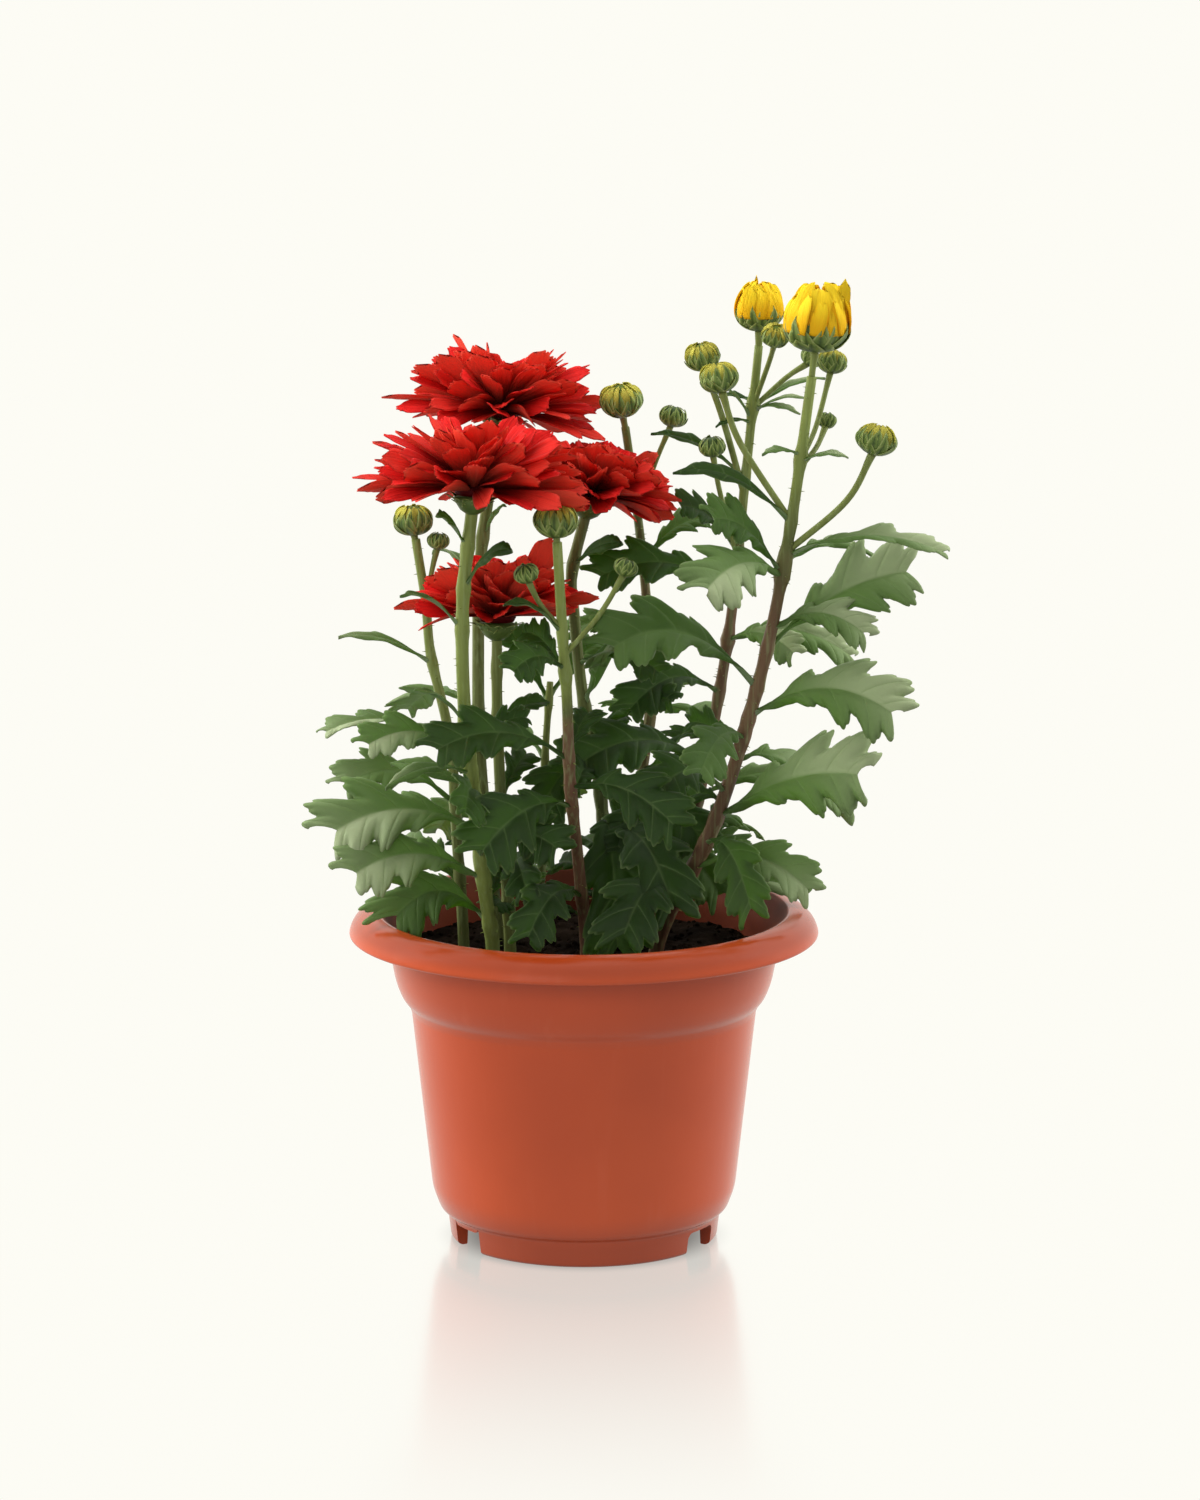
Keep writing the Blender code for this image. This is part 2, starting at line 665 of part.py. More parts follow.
def soil(parts, materials):
    """A plug that fills the pot, with a rough top and a plain hole for each stem."""
    cutters = new_collection("soil cutters", hidden=True)
    side = [(max(0, radius - SOIL_CLEARANCE), height + SOIL_CLEARANCE) for radius, height in POT_INSIDE[:-1]]
    rings = [(SOIL_RADIUS * (SOIL_RINGS - i) / SOIL_RINGS, SOIL_TOP) for i in range(SOIL_RINGS)]
    profile = [(0, SOIL_TOP), *reversed(rings), *reversed(side)]
    item = turned("soil", profile, TURN_STEPS, parts)
    for vertex in item.data.vertices:
        reach = math.hypot(vertex.co.x, vertex.co.y) / MM
        if vertex.co.z > (SOIL_TOP - 1) * MM and reach < SOIL_RADIUS - 1:
            bump = noise.noise(vertex.co / MM / SOIL_LUMP)
            vertex.co.z += (SOIL_RISE * bump - SOIL_SINK) * MM
    for name, plan in STEMS.items():
        calyx = BLOOMS[plan["bloom"]][:2] if plan["bloom"] else None
        points = stem_points(plan, calyx)
        radii = [radius + STEM_CLEARANCE for radius in stem_radii(plan, len(points))]
        points[0] = points[0] - UP * GAP
        hole = tube(f"hole_{name}", points[:3], radii[:3], cutters)
        hole.display_type = "WIRE"
    cut(item, cutters)
    item.data.materials.append(materials["soil"])


def build():
    clear_scene()
    parts = new_collection("pot chrysanthemum")
    helpers = new_collection("helpers", hidden=True)
    materials = {
        "pot plastic": new_material("pot plastic", POT_COLOR, 0.35),
        "soil": new_material("soil", SOIL_COLOR, 0.95),
        "leaves": new_material("leaves", LEAF_COLOR, 0.55),
        "red petals": new_material("red petals", PETAL_COLOR, 0.5),
        "yellow petals": new_material("yellow petals", YELLOW_COLOR, 0.5),
        "bud petals": new_material("bud petals", HEART_COLOR, 0.5),
    }
    for name, plan in STEMS.items():
        stem(name, plan, parts, helpers, materials)
    for name, (place, direction, reach, seed) in BLOOMS.items():
        bloom(name, place, direction, reach, seed, parts, helpers, materials["red petals"])
    bpy.data.collections.remove(helpers)
    soil(parts, materials)
    pot(parts, materials)


build()
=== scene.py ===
import json
import math
import random

import bmesh
import bpy
import numpy as np
from mathutils import Matrix, Vector, noise

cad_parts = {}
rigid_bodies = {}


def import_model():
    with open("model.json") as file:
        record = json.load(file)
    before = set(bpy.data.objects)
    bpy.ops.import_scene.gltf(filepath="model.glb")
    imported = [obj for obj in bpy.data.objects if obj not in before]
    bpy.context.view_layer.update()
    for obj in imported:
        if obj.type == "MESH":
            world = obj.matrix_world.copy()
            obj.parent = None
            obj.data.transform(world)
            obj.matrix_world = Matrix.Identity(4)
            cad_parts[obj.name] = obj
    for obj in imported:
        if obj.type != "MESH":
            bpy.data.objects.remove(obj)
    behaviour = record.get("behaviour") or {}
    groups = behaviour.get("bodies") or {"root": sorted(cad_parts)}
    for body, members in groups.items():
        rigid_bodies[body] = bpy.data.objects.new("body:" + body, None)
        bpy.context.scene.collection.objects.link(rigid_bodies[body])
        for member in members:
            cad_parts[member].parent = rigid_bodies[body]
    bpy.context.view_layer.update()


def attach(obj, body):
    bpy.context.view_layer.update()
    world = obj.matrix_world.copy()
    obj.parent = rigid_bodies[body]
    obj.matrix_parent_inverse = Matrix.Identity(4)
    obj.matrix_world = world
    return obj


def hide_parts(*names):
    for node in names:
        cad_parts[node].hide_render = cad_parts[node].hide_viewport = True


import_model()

# Sizes and places are in millimetres, and MM turns them into metres. The viewer stands on the -Y side.
MM = 0.001
UP = np.array((0.0, 0.0, 1.0))

# The pot's profile as (radius, height, how far the corner is rounded).
POT_PROFILE = [
    (59.6, 98.9, 0.8), (61.2, 100.0, 1.2), (65.5, 99.3, 2.0), (68.8, 96.4, 2.4), (70.0, 92.9, 1.2),
    (69.2, 92.3, 0.4), (68.3, 92.7, 0.5), (66.6, 95.2, 2.0), (60.4, 96.5, 2.0), (57.9, 92.5, 2.4),
    (57.2, 84.4, 2.0), (56.0, 78.4, 2.4), (54.2, 74.0, 1.6), (52.2, 71.6, 0.6), (51.4, 69.5, 0.8),
    (45.3, 15.5, 2.4), (43.0, 9.5, 1.6), (40.8, 8.2, 0.8), (39.9, 0.8, 0.6), (38.6, 0.0, 0.5),
    (36.8, 0.0, 0.4), (36.4, 8.4, 0.5), (20.0, 8.4, 1.0), (16.0, 0.0, 0.4), (0.0, 0.0, 0.0),
    (0.0, 2.0, 0.0), (14.8, 2.0, 1.0), (18.8, 10.4, 1.0), (38.6, 10.4, 1.0), (43.6, 15.8, 1.5),
    (49.7, 69.9, 1.5), (55.5, 84.5, 2.5), (56.1, 92.0, 2.5),
]
POT_STEPS = 168
CORNER_STEPS = 5
# The largest part of an edge that a corner's curve takes up.
CORNER_SHARE = 0.48
SHARP_EDGE = math.radians(35)
NOTCH_ANGLES = (90, 210, 330)
NOTCH_RING = 38.5
NOTCH_DEPTH = 10.0
NOTCH_WIDTH = 14.0
NOTCH_TOP = 6.8
NOTCH_ROUNDING = 2.0
DRAIN_RADIUS = 3.0
DRAIN_RING = 28.0
DRAIN_HEIGHT = 9.4
DRAIN_DEPTH = 6.0
# Heights in metres between which the painted shade on the foot, on the rim and on the inside above the soil
# sets in.
FOOT_SHADE = (0.005, 0.016)
RIM_SHADE = (0.093, 0.097)
INSIDE_SHADE = (0.0835, 0.0845)
# The middle of the wall in metres: its radius at the soil, and how much it leans out above WALL_BEND.
WALL_RADIUS = 0.0566
WALL_BEND = 0.092
WALL_LEAN = 0.55
WALL_BLUR = 0.0003

SOIL_RADIUS = 55.3
SOIL_TOP = 86.3
SOIL_FLOOR = 84.0
SOIL_MIDDLE_RISE = 0.5
SOIL_RINGS = 70
SOIL_STEPS = 160
# The soil's small lumps and its clods: how large they are, and how far they rise and sink.
LUMP_SIZE = 5.0
LUMP_HEIGHT = 1.1
CLOD_SIZE = 13.0
CLOD_HEIGHT = 1.3
# Crumbs and hairs: the grain that is scattered, how many there are for each square metre, and their sizes
# in parts of it.
CRUMB = {"Radius": MM, "Subdivisions": 1}
CRUMB_DENSITY = 70000
CRUMB_SIZES = (0.3, 1.3)
CRUMB_LUMPS = 0.7
CRUMB_SEED = 5
HAIR = {"Vertices": 5, "Radius Top": 0.03 * MM, "Radius Bottom": 0.16 * MM, "Depth": MM}
HAIR_DENSITY = 45000
HAIR_SIZES = (0.45, 1.2)

# A stem's route runs upwards. tones are (height, tone), from 0, brown, to 1, light green. A leaf is (height
# on the stem, tip, width, arch, lean in degrees), some with how pale it is, from 0, dark with painted shade,
# to 1, pale with painted light. A stem swells where its leaves leave it, but not at those in more. A bud is
# (height on the stem, middle of its stalk, centre, radius, kind).
STEMS = {
    "stem_front_left": {
        "route": [
            (-27, -9, 64), (-27, -9, 90), (-28.9, -14, 106), (-32.2, -22, 137), (-34.9, -29, 169),
            (-35, -31, 199),
        ],
        "radii": (2.3, 1.9),
        "tones": [(80, 0.75), (110, 0.85), (230, 0.9)],
        "bloom": "bloom_front",
        "leaves": [
            (190, (-53, -42, 202), 6, 0.15, 10), (202, (-21, -46, 216), 8.4, 0.15, 40),
            (214, (-42, -38, 225), 8.2, 0.1, 30), (162, (-49, -40, 174), 7, 0.1, 10),
            (152, (-62, -46, 159), 13, 0.15, 45), (146, (-57, -54, 148), 7, 0.1, 20),
            (140, (-57, -14, 147), 8, 0.1, 30), (128, (-72, -34, 131), 24, 0.15, 50),
            (112, (-66, -42, 120), 20, 0.15, 50), (118, (-8, -36, 126), 16, 0.2, 45),
            (136, (-34, -52, 140), 15, 0.2, 50), (97, (-55, -23, 103), 20, 0.3, 50, 0.25),
        ],
    },
    "stem_back_left": {
        "route": [
            (-26, 14, 64), (-26, 14, 90), (-28.1, 18, 109), (-31.2, 26, 140), (-31.8, 34, 172),
            (-31, 42, 200),
        ],
        "radii": (2.1, 1.8),
        "tones": [(80, 0.5), (230, 0.6)],
        "bloom": "bloom_top",
        "leaves": [
            (205, (-24, 37, 216), 6, 0.1, 20), (190, (-46, 60, 198), 7, 0.15, -20),
            (152, (-54, 56, 150), 16, 0.2, -10), (120, (-44, 50, 114), 14, 0.2, -20),
        ],
    },
    "stem_left_middle": {
        "route": [(-22, -2, 64), (-22, -2, 90), (-23.2, 0, 112), (-24.9, 2, 138), (-25.7, 2, 163)],
        "radii": (2.0, 1.6),
        "tones": [(80, 0.55), (180, 0.7)],
        "bloom": "bloom_low",
        "leaves": [
            (112, (-17, -31, 112), 12, 0.2, 30), (172, (-13, 6, 180), 7, 0.1, 40),
            (157, (-10, 8, 161), 8, 0.1, 30), (100, (-9, -26, 104), 10, 0.2, 30),
        ],
    },
    "stem_middle_back": {
        "route": [
            (8.4, 14, 64), (8.4, 14, 92), (6.6, 18, 114), (3.9, 20, 138), (-0.6, 22, 162), (-3, 22, 186),
            (-3.5, 22, 198),
        ],
        "radii": (2.0, 1.7),
        "tones": [(80, 0.4), (150, 0.55), (220, 0.6)],
        "bloom": "bloom_right",
        "leaves": [
            (200, (11, 8, 209), 7.5, 0.1, 50), (157, (9, 4, 177), 18, 0.2, 30, 0.4),
            (148, (26, 6, 162), 11, 0.15, 45), (122, (10, -16, 92), 21, 0.3, 0),
            (106, (-2, 40, 112), 12, 0.2, 0), (130, (35, 1, 121), 18, 0.18, 42),
        ],
        "more": [
            (116, (26, -22, 106), 21, 0.25, 10), (140, (-14, -6, 128), 16, 0.2, 30),
            (170, (22, -2, 172), 12, 0.15, 40),
        ],
    },
    "stem_front_middle": {
        "route": [
            (0.6, -8, 64), (0.6, -8, 90), (-1.7, -14, 118), (-4, -22, 143), (-4.8, -28, 168),
            (-6, -32, 187), (-7.6, -34, 216),
        ],
        "radii": (2.0, 1.5),
        "tones": [(80, 0.0), (158, 0.1), (172, 0.9), (230, 1.0)],
        "leaves": [
            (189, (-23, -46, 200), 6, 0.15, 20), (150, (-42, -44, 157), 17, 0.15, 50),
            (135, (-29, -48, 128), 21, 0.15, 55), (178, (-20, -54, 182), 12, 0.15, 50),
            (176, (-17, -14, 186), 10, 0.15, 45), (141, (26, -40, 134), 18, 0.15, 50),
            (106, (-16, -42, 101), 15, 0.2, 40),
        ],
        "buds": [
            (214, (-7.8, -34, 217.5), (-7.9, -34, 222.6), 6.4, "opening"),
            (190, (-12.4, -36, 198), (-16.6, -39, 208), 3.6, "closed"),
            (182, (4.6, -30, 194), (12.4, -28, 207.8), 3.5, "closed"),
        ],
    },
    "stem_far_left": {
        "route": [
            (-36, 6, 64), (-36, 6, 90), (-38, 12, 119), (-40, 18, 147), (-45.7, 23, 172),
            (-47.3, 25, 188), (-50.2, 26, 207),
        ],
        "radii": (1.9, 1.4),
        "tones": [(80, 0.5), (150, 0.7), (210, 0.9)],
        "leaves": [
            (170, (-73, 14, 180), 7, 0.1, 15), (145, (-76, 4, 153), 11, 0.15, 10),
            (129, (-70, 0, 138), 16, 0.2, 40), (108, (-62, 30, 112), 13, 0.2, 0),
        ],
        "buds": [
            (205, (-50.6, 26, 208), (-51.0, 26, 213), 5.9, "opening"),
            (187, (-45.3, 25, 198), (-43.4, 24, 207), 3.3, "closed"),
        ],
    },
    "stem_middle_right": {
        "route": [
            (12.4, 26, 64), (12.4, 26, 90), (16.8, 32, 129), (20.4, 39, 158), (18.3, 46, 191),
            (15.4, 50, 216), (12.4, 44, 238),
        ],
        "radii": (1.9, 1.3),
        "tones": [(80, 0.2), (190, 0.35), (225, 0.7)],
        "leaves": [
            (197, (36, 52, 209), 11, 0.15, 30), (176, (-4, 44, 176), 11, 0.15, 30),
            (128, (32, 54, 130), 13, 0.2, 0), (112, (40, 6, 104), 17, 0.25, 30),
            (150, (26, 64, 156), 12, 0.2, 0),
        ],
        "buds": [
            (236, (11.8, 42, 241), (11.1, 40, 247), 6.4, "opening"),
            (208, (20.8, 47, 225), (26.8, 45, 241.5), 4.2, "closed"),
        ],
    },
    "stem_back_right": {
        "route": [
            (22.8, 18, 64), (22.8, 18, 90), (34, 26, 127), (43.1, 28, 176), (48, 24, 225),
            (51.8, 20, 266),
        ],
        "radii": (2.1, 1.3),
        "tones": [(80, 0.05), (195, 0.15), (215, 0.7), (260, 0.9)],
        "leaves": [
            (203, (29, 14, 219), 11, 0.15, 50), (226, (20, 14, 241), 6, 0.1, 30),
            (176, (80, 36, 170), 13, 0.15, 45), (128, (80, 34, 124), 14, 0.2, 40),
            (113, (50, 38, 116), 13, 0.2, 10), (93, (66, 6, 104), 11, 0.15, 30),
            (139, (-2, -4, 144), 20, 0.15, 40), (144, (31, 52, 150), 14, 0.2, 0),
            (191, (5, 14, 198), 16, 0.15, 45), (176, (62, 8, 176), 11, 0.15, 50),
            (120, (10, -2, 118), 18, 0.2, 20), (160, (14, 4, 160), 15, 0.2, 40),
            (247, (64, 12, 247), 3.5, 0.1, 20), (249, (40, 28, 250), 3.5, 0.1, 20),
            (247, (72, 32, 255), 3.5, 0.1, 20),
        ],
        "buds": [
            (264, (51.8, 20, 267), (51.8, 20, 276.2), 7.1, "yellow"),
            (247, (54.8, 15, 262), (56.4, 7, 271), 4.2, "opening"),
            (247, (60, 23, 256), (67.7, 25, 262), 3.4, "closed"),
            (221, (41.0, 17, 245), (34.9, 12, 264), 5.2, "opening"),
            (201, (40.5, 18, 222), (37.9, 14, 237), 3.9, "closed"),
        ],
        "more": [
            (243, (39, 14, 243), 3.2, 0.1, 20), (244, (41, 12, 255), 3.0, 0.1, 20),
            (246, (66, 10, 252), 3.0, 0.1, 20),
        ],
    },
    "stem_far_right": {
        "route": [
            (22.2, 0, 64), (22.2, 0, 90), (39.2, -4, 128), (52.8, -8, 175), (60.5, -10, 216),
            (66.6, -10, 261),
        ],
        "radii": (2.4, 1.5),
        "tones": [(80, 0.0), (190, 0.15), (226, 0.8), (260, 1.0)],
        "leaves": [
            (168, (9, -32, 185), 22, 0.2, 45, 0.35), (202, (36, -42, 204), 21, 0.15, 40, 0.9),
            (202, (38, -28, 222), 15, 0.15, 60), (218, (26, -24, 235), 8, 0.15, 35),
            (208, (105, -14, 210), 10, 0.12, 20), (206, (86, 12, 204), 10, 0.15, 15),
            (180, (95, -2, 202), 22, 0.1, 60), (159, (90, -23, 164), 22, 0.18, 50),
            (128, (80, -26, 146), 25, 0.1, 60), (112, (66, -18, 110), 15, 0.2, 40),
            (153, (34, -44, 150), 15, 0.15, 40), (120, (49, -31, 107), 14, 0.25, 35, 0.2),
            (236, (77, -20, 239), 4, 0.1, 20), (238, (52, -20, 240), 4, 0.1, 20),
        ],
        "buds": [
            (260, (67, -10, 265), (67.9, -10, 276.1), 9.6, "yellow"),
            (236, (68.2, -1, 245), (73.1, 8, 263), 4.4, "opening"),
            (218, (45.8, -7, 241), (39.6, -4, 260), 5.7, "opening"),
            (234, (68.2, -3, 239), (71.6, 6, 245.9), 2.9, "closed"),
            (209, (77, -8, 224), (85.9, -6, 242), 5.9, "opening"),
        ],
        "more": [
            (104, (12, -34, 100), 20, 0.25, 20), (136, (22, -30, 142), 17, 0.2, 40),
            (186, (82, -14, 186), 14, 0.2, 40), (146, (68, 4, 136), 15, 0.2, 30),
        ],
    },
    "shoot_back": {
        "route": [(-13.9, 26, 64), (-13.9, 26, 90), (-12.7, 30, 108), (-11.8, 34, 138), (-10.2, 35, 162)],
        "radii": (1.6, 1.0),
        "tones": [(80, 0.5), (165, 0.8)],
        "leaves": [
            (138, (-28, 60, 141), 13, 0.2, 0), (120, (-6, 66, 122), 14, 0.2, 0),
            (155, (-22, 42, 176), 10, 0.1, 40), (157, (4, 46, 172), 9, 0.1, 30),
        ],
    },
}
STEM_SIDES = 18
STEM_STEP = 2.5
STEM_RIDGES = 6
RIDGE_HEIGHT = 0.07
STEM_SLIMNESS = 0.93
SWELL = 0.22
SWELL_LENGTH = 2.6

# A bud's stalk: its radii under a large bud and a small one, how much it widens at its end, and how far from
# the bud's centre it ends, in parts of the bud's radius.
LARGE_BUD = 5
STALK_RADII = (0.98, 0.78)
STALK_WIDENING = 0.35
STALK_END = 0.7
STALK_SIDES = 12
STALK_STEP = 2.0
STALK_TONE = 0.8
# How much more upwards a bud faces than its stalk.
BUD_LIFT = 0.6

# A leaf's lobes as (where the lobe's vein leaves the midrib, half of its span, its reach), and the web
# between them as (part of the length, reach). Reach is a part of half the leaf's width.
LEAF_LOBES = [(0.31, 0.075, 0.54), (0.53, 0.115, 1.0), (0.775, 0.125, 0.92), (0.93, 0.08, 0.62)]
LEAF_WEB = [(0, 0), (0.13, 0), (0.24, 0.19), (0.41, 0.46), (0.65, 0.58), (0.88, 0.56), (0.96, 0.36), (1, 0)]
NARROW_WEB = [(0.0, 0.0), (0.12, 0.05), (0.30, 0.66), (0.50, 1.0), (0.74, 0.70), (1.0, 0.0)]
NARROW_LEAF = 8.5
LEAF_COLUMNS = (-1.0, -0.82, -0.6, -0.36, -0.15, 0.0, 0.15, 0.36, 0.6, 0.82, 1.0)
PETIOLE_ROWS = (0.0, 0.05, 0.10)
BLADE_START = 0.14
# The veins slant forwards, and those on the right start a little farther along than those on the left.
VEIN_SLANT = 0.8
VEIN_STAGGER = 0.03
VEIN_WIDTH = 0.014
MIDRIB_WIDTH = 0.07
TEETH = 15
TEETH_STEPS = 6
TOOTH_DEPTH = 0.15
LEAF_FULLNESS = 1.18
LEAF_FOLD = math.radians(16)
# Where along the leaf its lean is whole.
LEAN_START = 0.24
# How far the blade stands up between its veins, and its edge waves and droops, in parts of the leaf's width.
PUFF = 0.018
EDGE_WAVE = 0.05
EDGE_DROOP = (0.05, 0.16)
# How many times the edge waves along the leaf.
EDGE_WAVES = (2.2, 3.2)
# The groove along the midrib.
GROOVE_DEPTH = 0.35
GROOVE_WIDTH = 0.9
LEAF_THICKNESS = 0.42
EDGE_THINNING = 0.45
PETIOLE_THICKNESS = 1.5
PETIOLE_LENGTH = 0.22
PETIOLE_HALF_WIDTH = 0.8
# Leaves are dark with painted shade within INNER_LEAVES of the middle, to the sides and behind, and fully
# pale with painted light PALE_REACH farther out, each up to PALE_DRAW more or less.
INNER_LEAVES = 30.0
PALE_REACH = 40.0
PALE_DRAW = 0.25
# The small leaves between the others: lowest, highest and step up the stem, and how far out they may reach.
AXIL_HEIGHTS = (101, 152, 16)
AXIL_REACH = 52.0
AXIL_SEED = 40

# A bloom is (top of its calyx, direction it faces, longest petal's reach, how many degrees more all its
# petals rise, those towards the viewer, and those at its sides, seed).
BLOOMS = {
    "bloom_front": ((-32, -30, 229.3), (0.04, 0.05, 1), 36.0, (0, 12, 0), 3),
    "bloom_top": ((-25, 46, 241), (0.12, 0.05, 1), 33.5, (-5, 6, 17), 8),
    "bloom_right": ((1.5, 22, 219.5), (0.19, 0.0, 1), 27.0, (0, 12, 0), 5),
    "bloom_low": ((-25.6, 1, 186.6), (0.02, 0.05, 1), 27.5, (9, 10, 8), 11),
}
# Single petals that stand out of a bloom: angle round it, rise at the root and at the tip, length, width
# and roll.
LOOSE_PETALS = {
    "bloom_front": [
        (-66, 2, -14, 24, 8, 20), (-14, 8, 2, 31, 8, 35), (196, 6, -12, 33, 8.5, -30),
        (222, 12, -6, 29, 9, 0),
    ],
    "bloom_top": [
        (4, 50, 62, 21, 7, 75), (158, 62, 70, 19, 5, -70), (172, 4, -10, 35, 6, -20),
        (140, 66, 76, 20, 5, -50),
    ],
    "bloom_right": [(-20, 20, -4, 27, 7, 30), (20, 40, 40, 22, 7, 70)],
    "bloom_low": [
        (6, 52, 64, 27, 9, 75), (182, 16, -14, 29, 8, -30), (214, 8, -26, 26, 8, -20),
        (-8, 18, 4, 29, 7, 40),
    ],
}
# Each ring of a bloom: petals, length as a part of the longest, rise at the root and at the tip in degrees.
PETAL_RINGS = [
    (18, 1.0, -2, -12), (18, 0.99, 7, -3), (17, 0.96, 16, 7), (16, 0.92, 26, 18), (15, 0.85, 37, 30),
    (13, 0.7, 49, 45), (10, 0.5, 59, 58), (7, 0.3, 72, 76),
]
PETAL_WIDTH = 7.9
PETAL_CUPPING = 34.0
LOOSE_CUPPING = 30.0
LOOSE_ROOT = (2.4, 2.6)
# The closed core under a bloom's petals and its calyx, as (radius, height) upwards, and the calyx's rows of
# scales as (how many, length, rise at the tip).
CORE_RADIUS = 6.4
CORE_PROFILE = [(0, 0), (5.0, 0), (6.0, 2.2), (4.4, 4.6), (0, 5.6)]
CALYX_PROFILE = [(0, -5.8), (1.8, -5.6), (3.6, -4.4), (5.5, -1.6), (5.4, -0.6), (0, -0.4)]
CALYX_ROWS = [(12, 6.2, 30), (11, 8.5, 14)]
CALYX_ROOT = (1.6, -5.4)
CALYX_RISE = 52
CALYX_SCALE_WIDTH = 3.0
# How far below the top of its calyx a stem ends.
STEM_END = 3.0
BODY_STEPS = 20

# A bud's closed body, as (radius, height) upwards in parts of the bud's radius.
BUD_BODY = [(0, -0.8), (0.5, -0.74), (0.8, -0.5), (0.93, -0.1), (0.8, 0.25), (0.45, 0.55), (0, 0.62)]
BUD_BODIES = {
    "closed": BUD_BODY,
    "opening": BUD_BODY,
    "yellow": [(0, -0.8), (0.5, -0.74), (0.8, -0.5), (0.9, -0.12), (0.8, 0.0), (0, 0.0)],
}
# How high the body under the folded petals stands, in parts of the bud's radius.
HEART_TOPS = {"opening": 0.66, "yellow": 1.12}
# Each row of a bud's scales: how many, the angle from the bud's lowest point that they reach, and their
# width as a part of the bud's radius.
SCALES = {
    "closed": [(9, 92, 0.72), (9, 130, 0.70), (8, 164, 0.62)],
    "opening": [(10, 86, 0.70), (11, 120, 0.72), (12, 146, 0.64)],
    "yellow": [(11, 68, 0.76), (13, 94, 0.68), (13, 118, 0.54)],
}
# Each row of a bud's folded petals: how many, the angle that they reach, the radius and half height of the
# ball they lie on and their width, in parts of the bud's radius.
FOLDED_PETALS = {
    "opening": [(14, 156, 0.93, 0.78, 0.40), (11, 168, 0.84, 0.76, 0.36)],
    "yellow": [(12, 148, 0.98, 1.18, 0.74), (10, 160, 0.92, 1.28, 0.70), (8, 170, 0.84, 1.31, 0.60)],
}
SCALE_SIZE = 1.05
SCALE_SIZE_STEP = 0.03
SCALE_START = 14
SCALE_START_STEP = 9
SCALE_HEIGHT = 0.77
FOLDED_START = 80
# Loose petals that stand up out of a yellow bud: angle round it, rise, length, width and roll. Lengths and
# widths are in parts of the bud's radius.
UPRIGHT_PETALS = {
    "bud_far_right_1": [(-14, 86, 1.40, 0.44, 66), (120, 92, 1.05, 0.5, 0)],
    "bud_back_right_1": [(100, 96, 1.36, 0.22, 0), (200, 90, 1.00, 0.5, 0)],
}
UPRIGHT_ROOT = (0.66, 0.1)

# Outlines of the flat blades that rings are made of, as (part of the length, half the width), and the
# blades: rows, columns, outline, height of the ridges, thickness, and depth of the notch in the tip.
PETAL_OUTLINE = [
    (0, 0.18), (0.2, 0.40), (0.45, 0.74), (0.7, 0.97), (0.84, 1.0), (0.93, 0.86), (0.98, 0.6), (1.0, 0.34)
]
SLIM_OUTLINE = [(0, 0.6), (0.3, 0.9), (0.6, 1.0), (0.85, 0.8), (0.95, 0.5), (1.0, 0.2)]
BRACT_OUTLINE = [(0, 0.75), (0.3, 1.0), (0.55, 0.85), (0.8, 0.45), (1.0, 0.05)]
BLADES = {
    "petal": (15, 9, PETAL_OUTLINE, 0.20, 0.50, 0.06),
    "slim": (13, 7, SLIM_OUTLINE, 0.22, 0.50, 0.0),
    "bract": (9, 5, BRACT_OUTLINE, 0.0, 0.40, 0.0),
}
# How far petals stray from their ring, as (lowest, highest, number that tells the draws apart). Angles are
# in radians, "turn" is in parts of the way to the next petal, and "long" and "wide" in parts of the whole.
STRAY = {
    "start": (-0.08, 0.08, 1),
    "end": (-0.24, 0.20, 2),
    "turn": (-0.22, 0.22, 3),
    "long": (0.0, 0.20, 4),
    "wide": (-0.20, 0.10, 5),
    "twist": (-0.75, 0.75, 6),
    "draw": (0.0, 1.0, 8),
}
# Keeps the bend of a straight petal from being zero.
LEAST_BEND = 0.0007
# A petal's colours at its root, at its tip, behind, and of the light through it, and that light's share.
PETAL_COLORS = {
    "red petal": ((0.08, 0.002, 0.004), (0.84, 0.024, 0.021), (0.90, 0.11, 0.06), (0.86, 0.036, 0.026), 0.30),
    "yellow petal": ((0.98, 0.44, 0.004), (1.0, 0.72, 0.014), (1.0, 0.74, 0.03), (1.0, 0.74, 0.02), 0.20),
    "bud petal": ((0.10, 0.14, 0.02), (0.60, 0.56, 0.07), (0.62, 0.56, 0.10), (0.70, 0.70, 0.12), 0.12),
}

FLOOR_RADIUS = 40.0
PALE = (0.982, 0.973, 0.910, 1)
# Each light's place, width and height in metres, and power. They all face LIGHT_AIM.
LIGHTS = {
    "left_softbox": ((-1.6, 0.5, 0.9), (0.9, 1.4), 36),
    "right_softbox": ((1.6, 0.6, 0.8), (0.8, 1.4), 31),
    "top_softbox": ((-0.2, 0.2, 1.8), (0.8, 0.8), 11),
    "front_fill": ((-0.9, -1.9, 0.8), (1.2, 1.2), 19),
}
LIGHT_AIM = Vector((0, 0, 0.15))
CAMERA_TARGET = Vector((0.0048, 0.0, 0.148))
CAMERA_DISTANCE = 2.03
CAMERA_RISE = math.radians(11.2)
CAMERA_LENS = 164.4


def operation(name, swapped=False):
    """A method that adds a Math node to a value's tree. A swapped one takes the value last."""

    def method(self, *others):
        values = (*others, self) if swapped else (self, *others)
        return self.nodes.add("ShaderNodeMath", {"operation": name}, dict(enumerate(values)))

    return method


